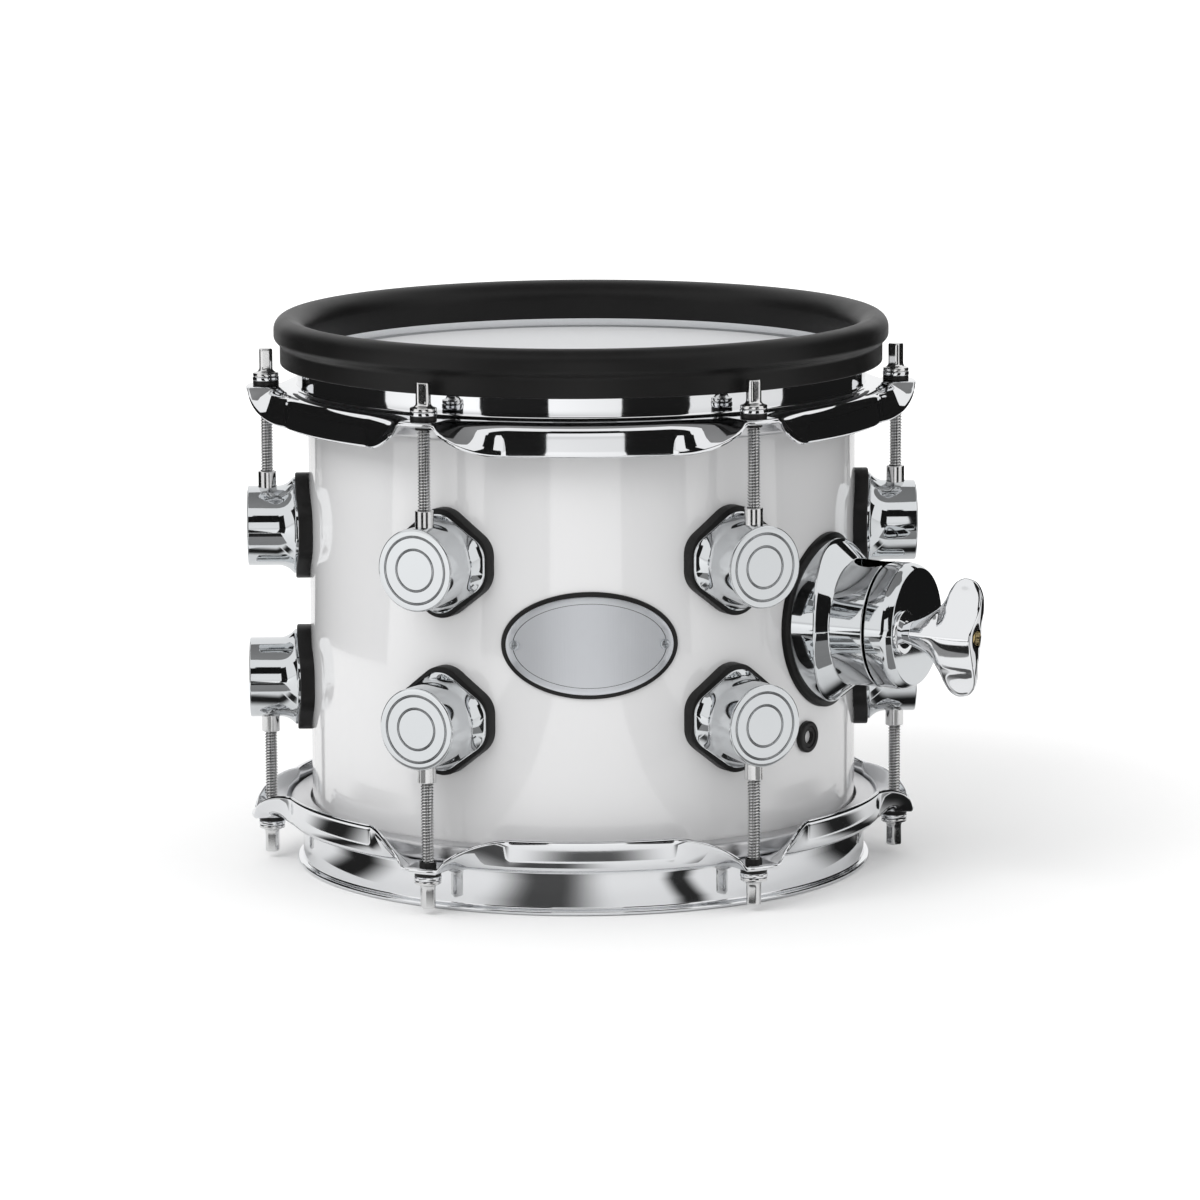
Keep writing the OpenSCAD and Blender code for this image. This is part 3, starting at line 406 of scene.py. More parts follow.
nylon = finish("black_nylon", (0.012, 0.0115, 0.0115), 0.38, tint=0.2, swing=0.08, spots=80.0,
               grain=3200.0, relief=0.06, Specular_IOR_Level=0.25)
badge_w, badge_h = 79.0, 48.5
badge_rim = 2.0
border_t, plate_t = 1.2, 0.9
border = skin("badge_border_ring", [on_wall(
    bent_plate(oval(badge_w, badge_h), shell_seat, shell_r + border_t, 0.4), 0, mid_z)])
fit(border, nylon, "drum", "black_nylon", "badge_border")

plate_w, plate_h = badge_w - 2 * badge_rim, badge_h - 2 * badge_rim
plate_r = shell_r + border_t + plate_t + 0.1
plate = skin("badge_oval", [on_wall(
    bent_plate(oval(plate_w, plate_h), shell_r + border_t - 0.1, plate_r, 0.3), 0, mid_z)])
brushed = finish("brushed_badge", (0.78, 0.80, 0.835), 0.40, metal=1.0, tint=0.05, swing=0.05,
                 spots=25.0, grain=2600.0, relief=0.12, stretch=(1, 1, 0.012), Anisotropic=0.5)
tree = brushed.node_tree
line_in = 3.2
line_w = 0.28
line_a, line_b = plate_w / 2 - line_in, plate_h / 2 - line_in
spot = node(tree, "ShaderNodeSeparateXYZ",
            {"Vector": node(tree, "ShaderNodeTexCoord").outputs["Object"]})
across = node(tree, "ShaderNodeMath", {0: spot.outputs["X"], 1: 1000 / line_a}, operation="MULTIPLY")
above = node(tree, "ShaderNodeMath", {0: spot.outputs["Z"], 1: mid_z / 1000}, operation="SUBTRACT")
above = node(tree, "ShaderNodeMath", {0: above.outputs[0], 1: 1000 / line_b}, operation="MULTIPLY")
out = node(tree, "ShaderNodeCombineXYZ", {"X": across.outputs[0], "Y": above.outputs[0]})
out = node(tree, "ShaderNodeVectorMath", {0: out.outputs["Vector"]}, operation="LENGTH")
on_line = node(tree, "ShaderNodeMath",
               {0: out.outputs["Value"], 1: 1.0, 2: line_w / (line_a + line_b)}, operation="COMPARE")
colour_over(brushed, on_line.outputs[0], (0.05, 0.055, 0.06, 1))
fit(plate, brushed, "drum", "badge_aluminium", "badge_plate")

screw_x = 33.0
screw_turn = math.degrees(math.asin(screw_x / shell_r))
screw_profile = rounded([[0.05, -3, 0], [1.0, -3, 0.2], [1.0, 0, 0.1], [2.4, 0, 0.15],
                         [2.0, 0.75, 0.5], [0.05, 0.95, 0]], 5, closed=False)
screw_profile[:, 1] += plate_r - 0.02
screw = turned(screw_profile, 40)
slot_box = np.array([[[-1, -1], [1, -1], [1, 1], [-1, 1]]])
slots = [np.concatenate([slot_box * half, np.full((1, 4, 1), plate_r + level)], -1)
         for half in ((1.45, 0.3), (0.3, 1.45)) for level in (0.35, 2)]
slots = [np.concatenate(slots[:2]), np.concatenate(slots[2:])]
badge_screws = skin("badge_screw_pair", [on_wall(screw, a, mid_z) for a in (-screw_turn, screw_turn)])
for slot in slots:
    cut(badge_screws, [on_wall(slot, a, mid_z) for a in (-screw_turn, screw_turn)])
zinc = finish("zinc_steel", (0.60, 0.63, 0.66), 0.28, metal=1.0, tint=0.06, swing=0.08, spots=200.0,
              grain=1800.0, relief=0.03)
fit(badge_screws, zinc, "drum", "zinc_steel", "badge_screws")


# The batter head is white woven polyester, stretched over the bearing edge with its collar bonded in
# an aluminium hoop. The resonant head below is one sheet of coated film on the same kind of hoop.

def upside(p):
    """Mirrored from one end of the drum to the other."""
    return p * [1, 1, -1] + [0, 0, 2 * mid_z]


head_t = 0.5
collar_in = shell_r + 0.35
collar_out = collar_in + head_t
hoop_low, hoop_high = 1000 * np.array(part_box("batter_flesh_hoop"))
collar_end = (hoop_low[2] + hoop_high[2]) / 2
fold = crest_out + 0.1
head_profile = rounded([
    [2, high_edge, 0], [fold, high_edge, 0.3], [collar_in, high_edge - crest_cut - 0.1, 0.3],
    [collar_in, collar_end, 0.1], [collar_out, collar_end, 0.1],
    [collar_out, high_edge - crest_cut + 0.2, 0.5], [fold + 0.2, high_edge + head_t, 0.5],
    [2, high_edge + head_t, 0],
], 5, closed=False)
head = turned(head_profile, 240)
mesh_head = skin("mesh_head", [head])
weave = finish("white_mesh", (0.80, 0.81, 0.825), 0.75, tint=0.02, swing=0.05, spots=20.0,
               Sheen_Weight=0.25, Sheen_Roughness=0.4)
tree = weave.node_tree
thread_gap = 0.3456
# At a scale of 1, a wave of bands repeats after 2 pi / 20 metres.
wave_period = 1000 * 2 * math.pi / 20
place = node(tree, "ShaderNodeTexCoord").outputs["Object"]
threads = [node(tree, "ShaderNodeTexWave",
                {"Vector": place, "Scale": wave_period / thread_gap},
                wave_type="BANDS", bands_direction=way, wave_profile="SIN").outputs["Fac"]
           for way in ("X", "Y")]
knot = node(tree, "ShaderNodeMath", {0: threads[0], 1: threads[1]}, operation="MAXIMUM")
gaps = node(tree, "ShaderNodeMapRange", {"Value": knot.outputs[0], "To Min": 0.72, "To Max": 1.0})
colour_over(weave, 1.0, gaps.outputs["Result"], "MULTIPLY")
raised = node(tree, "ShaderNodeBump",
              {"Height": knot.outputs[0], "Strength": 0.35, "Distance": 0.0002})
tree.links.new(raised.outputs["Normal"], tree.nodes["Principled BSDF"].inputs["Normal"])
fit(mesh_head, weave, "drum", "mesh_white", "batter_mesh")

film = finish("coated_film", (0.78, 0.78, 0.77), 0.38, tint=0.02, swing=0.06, spots=30.0,
              grain=2200.0, relief=0.05)
film_head = skin("film_head", [upside(head)])
fit(film_head, film, "drum", "film_white", "resonant_head")

rolled = finish("rolled_aluminium", (0.66, 0.66, 0.67), 0.36, metal=1.0, tint=0.05, swing=0.08,
                spots=60.0, grain=800.0, relief=0.05)
ring_in, ring_out, ring_soft = collar_out + 0.1, hoop_high[0], 1.9
flesh_profile = rounded([
    [ring_in, hoop_low[2], 0.4], [ring_out, hoop_low[2], ring_soft],
    [ring_out, hoop_high[2], ring_soft], [ring_in, hoop_high[2], 0.4],
])
flesh = turned(flesh_profile, 240)
for name, rings, cad in (
        ("batter_flesh_ring", flesh, "batter_flesh_hoop"),
        ("resonant_flesh_ring", upside(flesh), "resonant_flesh_hoop")):
    fit(skin(name, [rings], joined=True), rolled, "drum", "aluminium_bright", cad)


# Each hoop is one band of sheet steel, folded and chromed: a rolled lip, an upright band, and a flange
# that lies flat as an ear at each rod and turns over into a skirt between the ears.

sheet = 2.3
hoop_rise = 20.0
hoop_gap, lip_reach = 2.3, 2.5
band_mid = shell_r + hoop_gap + sheet / 2
lip_r = shell_r + hoop_gap + sheet + lip_reach
lip_bend, foot_bend, skirt_bend = 2.2, 3.0, 4.5
skirt_r = 141.0
skirt_len = 10.0
skirt_angle = 88.0
ear_w, ear_blend, ear_reach, ear_round = 14.6, 31.0, 9.5, 0.9
ear_hole_r = 3.95
flange_z = hoop_rise + sheet / 2
ear_half = math.degrees(math.atan(ear_w / 2 / rod_r))
blend_half = math.degrees(math.atan((ear_w / 2 + ear_blend) / rod_r))
bend_start = skirt_r - sheet / 2 - skirt_bend
bend_run = skirt_bend * math.pi / 2


def ease(x):
    """Smooth step from 0 to 1."""
    x = np.clip(x, 0, 1)
    return x * x * (3 - 2 * x)


def hoop_rings(steps):
    """Sections of the hoop, lip at z = 0, one for each angle. A middle line runs in along the lip, up
    the band, out along the flange and over into the skirt. How far it turns there grows from none at
    an ear to the full angle between ears, as the 0.8th power of the way, eased at its start. Half the
    sheet lies to each side of the line, with round ends."""
    turn = np.arange(steps) * 360 / steps
    off = np.abs((turn - rod_angles[0] + rod_step / 2) % rod_step - rod_step / 2)[:, None]
    part = np.clip((off - ear_half) / (blend_half - ear_half), 0, 1)
    down = part ** 0.8 * ease(8 * part)
    lip = [np.linspace(0, 1, 3), np.linspace(0, np.pi / 2, 8)]
    r0 = band_mid + lip_bend
    line_r = np.concatenate([lip_r - sheet / 2 + (r0 - lip_r + sheet / 2) * lip[0],
                             r0 - lip_bend * np.sin(lip[1][1:])])
    line_z = np.concatenate([0 * lip[0] + sheet / 2, sheet / 2 + lip_bend * (1 - np.cos(lip[1][1:]))])
    way = np.concatenate([0 * lip[0] + np.pi, np.pi - lip[1][1:]])
    rise = np.linspace(sheet / 2 + lip_bend, flange_z - foot_bend, 6)[1:]
    bend = np.linspace(0, np.pi / 2, 9)[1:]
    line_r = np.concatenate([line_r, 0 * rise + band_mid, band_mid + foot_bend * (1 - np.cos(bend))])
    line_z = np.concatenate([line_z, rise, flange_z - foot_bend * (1 - np.sin(bend))])
    way = np.concatenate([way, 0 * rise + np.pi / 2, np.pi / 2 - bend])
    fixed = [np.repeat(x[None], steps, 0) for x in (line_r, line_z, way)]
    flat = bend_start - band_mid
    ear_len = rod_r + ear_reach - band_mid - ear_round * np.minimum(1, off / ear_half) ** 2 * (1 - down)
    reach = ear_len + (flat + bend_run + skirt_len - ear_len) * down
    along = np.concatenate([
        np.linspace(foot_bend, flat, 3)[1:] + 0 * down,
        flat + bend_run * np.linspace(0, 1, 11)[1:] + 0 * down,
        flat + bend_run + (reach - sheet / 2 - flat - bend_run) * np.linspace(0, 1, 6)[1:],
    ], 1)
    full = np.maximum(np.radians(skirt_angle) * down, 1e-4)
    into, past = np.clip(along - flat, 0, bend_run), np.maximum(along - flat - bend_run, 0)
    angle = full * into / bend_run
    curve = bend_run / full
    free_r = band_mid + np.minimum(along, flat) + curve * np.sin(angle) + past * np.cos(angle)
    free_z = flange_z + curve * (1 - np.cos(angle)) + past * np.sin(angle)
    line_r, line_z, way = (np.concatenate([a, b], 1) for a, b in zip(fixed, (free_r, free_z, angle)))
    side_r, side_z = -np.sin(way) * sheet / 2, np.cos(way) * sheet / 2
    cap = np.linspace(0, np.pi, 7)[1:-1]
    tip = way[:, -1:] - np.pi / 2 + cap
    root = way[:, :1] + np.pi / 2 + cap
    r = np.concatenate([line_r - side_r, line_r[:, -1:] + sheet / 2 * np.cos(tip),
                        (line_r + side_r)[:, ::-1], line_r[:, :1] + sheet / 2 * np.cos(root)], 1)
    z = np.concatenate([line_z - side_z, line_z[:, -1:] + sheet / 2 * np.sin(tip),
                        (line_z + side_z)[:, ::-1], line_z[:, :1] + sheet / 2 * np.sin(root)], 1)
    a = np.radians(turn)[:, None]
    return np.stack([r * np.sin(a), -r * np.cos(a), z], -1)


def at_rods(p):
    """Copies of an upright piece at the six tension rods."""
    return [p + [rod_r * math.sin(math.radians(a)), -rod_r * math.cos(math.radians(a)), 0]
            for a in rod_angles]


hoop = hoop_rings(720)
ear_holes = at_rods(bar(ear_hole_r, hoop_rise - 4, hoop_rise + 6, 48))
for name, rings, holes, cad in (
        ("resonant_hoop_band", hoop, ear_holes, "resonant_hoop"),
        ("batter_hoop_band", upside(hoop), [upside(h) for h in ear_holes], "batter_hoop")):
    band = skin(name, [rings], joined=True, crease=40)
    cut(band, holes)
    fit(band, chrome, "drum", "chrome_plate", cad)


# The rim over the upper hoop is a moulded ring of black rubber. It grips the lip with a groove, bulges
# in a round bead above it and hangs down as a plain wall outside the band.

lip_z = 2 * mid_z
rim_rise, rim_drop, rim_back, rim_t, rim_bead = 12.5, 9.5, 5.5, 2.0, 8.3
rod_room = 6.6
grip_gap = 0.1
rim_top, rim_low, back_low = lip_z + rim_rise, lip_z - rim_drop, lip_z - rim_back
bead_r = lip_r + rim_bead
wall_r = rod_r - rod_room
band_in, band_out = band_mid - sheet / 2, band_mid + sheet / 2
rim_in = band_in - rim_t
grip_in, grip_out = band_in - grip_gap, band_out + grip_gap
grip_lip, grip_top = lip_r + grip_gap, lip_z + grip_gap
rim_profile = rounded([
    [grip_in, back_low, 0.2], [rim_in, back_low, 0.6], [rim_in, rim_top, 9.3],
    [bead_r, rim_top, 6.2], [bead_r, lip_z + 2.4, 3.0], [wall_r, lip_z - 0.6, 3.0],
    [wall_r, rim_low, 0.8], [grip_out, rim_low, 0.3], [grip_out, lip_z - 3.7, 0.2],
    [grip_lip, lip_z - 2.2, 0.2], [grip_lip, grip_top, 0.2], [grip_in, grip_top, 0.2],
], 10)
rim = skin("rubber_rim", [turned(rim_profile, 360)], joined=True)
fit(rim, rubber, "drum", "black_rubber", "hoop_rubber")


# Twelve tension rods of nickelled steel hold the hoops down. Each has a rolled thread, a round collar
# and a square head for a drum key, with a steel washer under it and a black nylon bush in the ear.

pitch = 1.36
rod_d = 5.9
thread_depth = 0.62
rod_box = 1000 * np.array(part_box("batter_rod_1"))
rod_tip, key_top = rod_box[0, 2], rod_box[1, 2]
thread_len = 77.0
collar_z = rod_tip + thread_len
key_half, key_corner = 3.0, 3.48
sides = 48


def screw_thread(radius, low, high, step, depth, per_turn=8):
    """Rings of a right-hand thread: the radius falls by depth times a flattened triangle wave of
    height / step less turn, so that a crest climbs one step in each turn."""
    z = np.linspace(low, high, int((high - low) / step * per_turn))[:, None]
    a = np.arange(sides) * 2 * np.pi / sides
    root = np.clip(1.3 * np.abs((z / step - a / (2 * np.pi)) % 1 * 2 - 1) - 0.15, 0, 1)
    blunt = 0.25 * radius * np.clip(1 - (z - low) / 1.2, 0, 1)
    r = radius - depth * root - blunt
    return np.stack([r * np.cos(a), r * np.sin(a), z + 0 * a], -1), root


def rod_rings(key_turn):
    """Thread, collar and head in one. A head ring is a share of the way from a circle to a square
    whose corners are left round, as it is milled from a round bar."""
    thread, root = screw_thread(rod_d / 2, rod_tip, collar_z, pitch, thread_depth)
    a = np.arange(sides) * 2 * np.pi / sides
    b = a - key_turn
    key = np.minimum(key_half / np.maximum(np.abs(np.cos(b)), np.abs(np.sin(b))), key_corner)
    size, up, square = np.array([
        [5.65, 0.0, 0], [5.9, 0.1, 0], [6.0, 0.35, 0], [6.0, 1.3, 0], [5.85, 1.55, 0], [5.5, 1.7, 0],
        [4.9, 1.85, 0], [4.4, 2.1, 0.1], [4.0, 2.6, 0.35], [3.6, 3.3, 0.7], [3.3, 4.2, 0.95],
        [3.2, 5.0, 1], [3.2, 11.6, 1], [3.2, 12.2, 0.98],
    ]).T[:, :, None]
    r = size * (1 - square) + key * square
    r = np.concatenate([r, [key * 0.96, key * 0.86, key * 0.4]])
    z = collar_z + np.concatenate([up[:, 0], key_top - collar_z - np.array([0.35, 0.08, 0])])[:, None]
    head = np.stack([r * np.cos(a), r * np.sin(a), z + 0 * a], -1)
    roots = np.concatenate([root.ravel(), np.zeros(head[..., 0].size + 2)])
    return np.concatenate([thread, head]), roots


def turned_over(p):
    """Turned end for end about the X axis."""
    return p * [1, -1, -1] + [0, 0, 2 * mid_z]


# The nickel darkens to half towards the roots of the thread: painted shade in the thread's grooves.
tree = nickel.node_tree
depth = node(tree, "ShaderNodeAttribute", attribute_name="thread_root_shade")
painted_root_shade = node(tree, "ShaderNodeMapRange", {"Value": depth.outputs["Fac"], "To Min": 1.0, "To Max": 0.5})
colour_over(nickel, 1.0, painted_root_shade.outputs["Result"], "MULTIPLY")

rod_hole_r, washer_r, bush_r, flange_r = 3.25, 6.2, 3.85, 6.0
washer_t, flange_t, bush_depth = 2.1, 2.1, 4.2
washer_top = collar_z - contact_gap
bush_top = collar_z - washer_t
ear_face = bush_top - flange_t
bush_low = ear_face - bush_depth
washer = turned(rounded([[rod_hole_r, bush_top, 0.2], [washer_r, bush_top, 0.55],
                         [washer_r, washer_top, 0.55], [rod_hole_r, washer_top, 0.2]]), sides)
bush = turned(rounded([
    [rod_hole_r, bush_low, 0.2], [bush_r, bush_low, 0.25], [bush_r, ear_face, 0.1],
    [flange_r, ear_face, 0.3], [flange_r, bush_top, 0.4], [rod_hole_r, bush_top, 0.2],
]), sides)
key_turns = np.radians([18, 52, 70, 33, 8, -16])
for end, place in (("batter", lambda p: p), ("resonant", turned_over)):
    for i in range(rod_count):
        rings, root = rod_rings(key_turns[i])
        rod = skin(f"{end}_tension_rod_{i + 1}", [at_rods(place(rings))[i]])
        rod.data.attributes.new("thread_root_shade", "FLOAT", "POINT").data.foreach_set("value", root)
        fit(rod, nickel, f"{end}_rod_{i + 1}", "rod_steel", f"{end}_rod_{i + 1}")
        disc = skin(f"{end}_steel_washer_{i + 1}", [at_rods(place(washer))[i]], joined=True)
        fit(disc, chrome, f"{end}_washer_{i + 1}", "rod_steel", f"{end}_washer_{i + 1}")
    bushes = skin(f"{end}_nylon_bush_set", at_rods(place(bush)), joined=True)
    fit(bushes, nylon, "drum", "black_nylon", f"{end}_rod_bushes")


# The bracket clamps the tube of a tom holder. Its foot and neck are one chromed casting on a rubber
# gasket, bolted through the shell, and a vertical hole for the tube crosses the split with the jaw.

def at_bracket(p):
    """From the bracket's own frame to the drum's."""
    return on_wall(p, bracket_a, mid_z)


def at_stud(p):
    """From the frame of the bracket's stud to the drum's."""
    return at_bracket(p + [stud_x, 0, 0])


bracket_a = 60.0
stud_x = -16.0
foot_w, foot_h = 66.8, 75.2
foot_gasket_t, foot_gasket_rim = 2.5, 2.6
foot_back = shell_r + foot_gasket_t
oval_gasket = skin("bracket_gasket_pad", [at_bracket(bent_plate(
    oval(foot_w + 2 * foot_gasket_rim, foot_h + 2 * foot_gasket_rim),
    shell_seat, foot_back - contact_gap, 0.8))])
fit(oval_gasket, rubber, "drum", "black_rubber", "bracket_gasket")

neck_r, neck_len = 28.85, 16.3
cone_rise, cone_slope, cone_soft = 15.0, 1.21, 1.1
tube_r, tube_back = 9.6, 6.8
neck_s = shell_r + cone_rise
split_s = neck_s + neck_len
tube_s = split_s - tube_back
rim = oval(foot_w, foot_h, 240)
rim_turn, rim_far = np.arctan2(rim[:, 1], rim[:, 0]), np.linalg.norm(rim, axis=1)
soft = 0.5
shrink = np.linspace(0.05, 1, 8)[:, None]
back_r = np.concatenate([shrink * rim_far, rim_far[None]])
back_lift = np.array([0] * len(shrink) + [0.3])[:, None]
back_s = np.sqrt(foot_back ** 2 - (back_r * np.cos(rim_turn)) ** 2) + back_lift
crease_s = neck_s - cone_slope * (rim_far - soft - neck_r)
edge_r = rim_far - soft * np.array([0, 0.1, 0.45])[:, None]
edge_s = crease_s - soft * np.array([1.8, 0.8, 0.25])[:, None]
run = np.linspace(0, 1, 7)[:, None]
cone_r = (rim_far - soft) * (1 - run) + (neck_r + cone_soft) * run
cone_s = neck_s - cone_slope * (cone_r - neck_r)
neck = rounded([[neck_r + cone_soft, neck_s - cone_soft * cone_slope, 1], [neck_r, neck_s, 1.5],
                [neck_r, split_s, 0.5], [4, split_s, 1]], 7, closed=False)[1:]
base_r = np.concatenate([back_r, edge_r, cone_r, neck[:, :1] + 0 * rim_far])
base_s = np.concatenate([back_s, edge_s, cone_s, neck[:, 1:] + 0 * rim_far])
base = np.stack([base_r * np.cos(rim_turn), base_r * np.sin(rim_turn), base_s], -1)
tube_hole = lying(bar(tube_r, -60, 60, 96), tube_s)
base = skin("bracket_foot", [at_bracket(base)])
cut(base, [at_bracket(tube_hole)])
fit(base, cast_chrome, "drum", "chrome_plate", "bracket_base")


# The jaw slides away from the neck on a brass stud and a steel guide pin when the wing nut is slack.
# It is cast and chromed like the neck, with a round bevel at its outer end.

split_gap, jaw_len = 1.2, 13.1
bevel_len, bevel_in = 3.4, 2.3
stud_hole_r = 4.2
jaw_s = split_s + split_gap
jaw_end = jaw_s + jaw_len
jaw_profile = rounded([[1, jaw_s, 0], [neck_r, jaw_s, 0.5], [neck_r, jaw_end - bevel_len, 6],
                       [neck_r - bevel_in, jaw_end, 1.0], [1, jaw_end, 0]], 9, closed=False)
jaw = skin("bracket_jaw_end", [at_bracket(turned(jaw_profile, 240))])
cut(jaw, [at_bracket(tube_hole)])
cut(jaw, [at_stud(bar(stud_hole_r, jaw_s - 2, jaw_end + 2))])
fit(jaw, cast_chrome, "jaw", "chrome_plate", "bracket_jaw")

ring_r, ring_t = 10.0, 2.0
wing_s = jaw_end + ring_t
ring = turned(rounded([[stud_hole_r, jaw_end, 0.2], [ring_r, jaw_end, 0.3], [ring_r, wing_s, 0.9],
                       [stud_hole_r, wing_s, 0.3]]), 96)
ring = skin("wing_nut_ring", [at_stud(ring)], joined=True)
fit(ring, chrome, "jaw", "chrome_plate", "wing_ring")

brass = finish("turned_brass", (0.60, 0.45, 0.20), 0.24, metal=1.0, tint=0.08, swing=0.08, spots=90.0,
               grain=1500.0, relief=0.05)
stud_r, stud_pitch, stud_depth = 4.0, 1.25, 0.55
stud_start, stud_end = neck_s + 2, jaw_end + 34
thread, root = screw_thread(stud_r, -stud_end, -stud_start, stud_pitch, stud_depth)
stud = skin("clamp_stud", [at_stud(thread * [1, -1, -1])])
fit(stud, brass, "drum", "brass", "bracket_stud")


# The wing nut is cast and chromed. Seen from the side its wings make a bell, seen from the end an S,
# and the end of the brass stud shows in its middle.

wing_len, wing_w, wing_t, hub_d = 36.5, 53.0, 3.2, 13.0
wing_aside, hub_back = 3.1, 1.8
wing_bore_r = 4.1
bell = np.array([[0, 0.17], [0.27, 0.32], [0.41, 0.45], [0.51, 0.62], [0.57, 0.79], [0.66, 0.94],
                 [0.77, 1.0], [0.88, 0.97], [0.95, 0.88], [1.0, 0.74]])


def smooth_through(points, at):
    """Monotone cubic through points: slopes are the harmonic means of the steps on both sides."""
    x, y = points.T
    step = np.diff(y) / np.diff(x)
    both, total = step[1:] * step[:-1], step[1:] + step[:-1]
    inner = np.where(both > 0, 2 * both / np.where(total == 0, 1, total), 0)
    slope = np.concatenate([step[:1], inner, step[-1:]])
    i = np.clip(np.searchsorted(x, at) - 1, 0, len(step) - 1)
    w = x[i + 1] - x[i]
    t = (at - x[i]) / w
    return ((1 + 2 * t) * (1 - t) ** 2 * y[i] + t * (1 - t) ** 2 * w * slope[i]
            + t * t * (3 - 2 * t) * y[i + 1] + t * t * (t - 1) * w * slope[i + 1])


def wing_rings(slices, around):
    """Slices square to the stud. Across a slice, y runs to the bell's half width and back, and x is the
    S of the wing's middle plus or minus a half thickness that swells into the hub as a bell curve and
    closes round at the tips. The last slices draw in to round the end and dip over the hub."""
    t = np.linspace(0, 1, slices)[:, None]
    end_soft = np.sqrt(1 - np.clip((t - 0.965) / 0.036, 0, 1) ** 2)
    half_w = wing_w / 2 * smooth_through(bell, t) - 0.9 * (1 - end_soft)
    u = np.arange(around) * 2 * np.pi / around
    y = half_w * np.sin(u)
    flat = 1 - 0.62 * ease((half_w / (wing_w / 2) - 0.2) / 0.5)
    side = np.sign(np.cos(u)) * np.abs(np.cos(u)) ** flat
    hub = hub_d / 2 * (0.76 + 0.24 * ease(t / 0.35))
    thick = wing_t / 2 + (hub - wing_t / 2) * np.exp(-(y / wing_w / 0.217) ** 2)
    far = np.abs(y) / wing_w
    lean = wing_aside * np.sign(y) * ease(far / 0.28) * ease((half_w - hub_d / 2) / 8)
    x = lean + (thick - 0.9 * (1 - end_soft)) * side
    return np.stack([x, y, wing_s + wing_len * t - hub_back * t ** 4 * (1 - ease(far / 0.34))], -1)


wings = skin("wing_nut_casting", [at_stud(wing_rings(120, 144))], crease=50)
cut(wings, [at_stud(bar(wing_bore_r, wing_s - 2, wing_s + wing_len + 4))])
fit(wings, chrome, "wing", "chrome_plate", "wing_nut")


# The jack's barrel comes through the shell beside a lower lug, with a black ring round its mouth. Its
# contact box is inside.

jack_a, jack_drop = 51.5, 51.5
jack_hole_r, jack_ring_r, jack_ring_t = 4.8, 7.25, 2.45
jack_z = mid_z - jack_drop
jack_face = shell_r + jack_ring_t
jack_ring = turned(rounded([[jack_hole_r, shell_seat, 0.1], [jack_ring_r, shell_seat, 0.2],
                            [jack_ring_r, jack_face, 0.9], [jack_hole_r, jack_face, 0.3]]), 72)
jack_ring = skin("jack_mouth_ring", [on_wall(jack_ring, jack_a, jack_z)], joined=True)
fit(jack_ring, nylon, "drum", "black_nylon", "jack_ring")
dress(nylon, "jack_body")


# Inside the shell a bridge of aluminium strip carries the trigger: a plate on four rubber posts, a
# piezo disc, and a cone of open-cell foam that touches the head. Screws, bolts and a lead finish it.

dress(rolled, "trigger_bridge", "trigger_plate")
dress(rubber, "trigger_isolators")
dress(brass, "trigger_piezo", "rim_piezo")
dress(zinc, "lug_screws", "bracket_bolts", "bracket_backing_plate", "bracket_guide_pin")
cable = finish("lead_sheath", (0.05, 0.05, 0.052), 0.5, tint=0.15, swing=0.08, spots=90.0,
               grain=1600.0, relief=0.08)
dress(cable, "wiring")

foam = finish("grey_foam", (0.055, 0.055, 0.06), 0.95, tint=0.35, swing=0.04, spots=350.0,
              grain=900.0, relief=0.9)
cone_low, cone_high = 1000 * np.array(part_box("trigger_cone"))
cone_foot, cone_tip = float(cone_high[0]), 6.0
cone_profile = rounded([[0.5, cone_low[2], 0], [cone_foot, cone_low[2], 1.2],
                        [cone_tip, cone_high[2], 1.5], [0.5, cone_high[2], 0]], 7, closed=False)
cone = skin("foam_cone", [turned(cone_profile, 96)])
fit(cone, foam, "drum", "foam_grey", "trigger_cone")


# The studio: a pale floor under an even white sky, with dark flags and floor cloths that only the chrome
# and the lacquer mirror, and a long lens at the photograph's height.

def card(name, points, shade=0.012, soft=0.0):
    """Grid of points as a dark cloth that reflections see and the camera does not. Over the share
    soft of its width at each side it pales to the floor's shade."""
    n, m = points.shape[:2]
    row, col = np.arange(n - 1)[:, None] * m, np.arange(m - 1)
    faces = np.stack([row + col, row + col + 1, row + m + col + 1, row + m + col], -1).reshape(-1, 4)
    mesh = bpy.data.meshes.new(name)
    mesh.from_pydata(points.reshape(-1, 3), [], faces.tolist())
    cloth = bpy.data.objects.new(name, mesh)
    bpy.context.scene.collection.objects.link(cloth)
    dark = finish(name, (shade, shade, shade), 0.9, tint=0.1, Specular_IOR_Level=0.0)
    if soft:
        at = np.arange(m) / (m - 1)
        paling = mesh.attributes.new("paling", "FLOAT", "POINT")
        paling.data.foreach_set("value", np.tile(1 - ease(np.minimum(at, 1 - at) / soft), n))
        share = node(dark.node_tree, "ShaderNodeAttribute", attribute_name="paling")
        colour_over(dark, share.outputs["Fac"], (*floor_shade, 1))
    mesh.materials.append(dark)
    cloth.visible_camera = cloth.visible_diffuse = cloth.visible_shadow = False


def sector(start, end, near, far, low, high):
    """Surface round the drum between two angles from the front, from near and low to far and high."""
    a = np.radians(np.linspace(start, end, 24))[None]
    r, z = np.array([near, far])[:, None], np.array([low, high])[:, None]
    return np.stack([r * np.sin(a), -r * np.cos(a), z + 0 * a], -1)


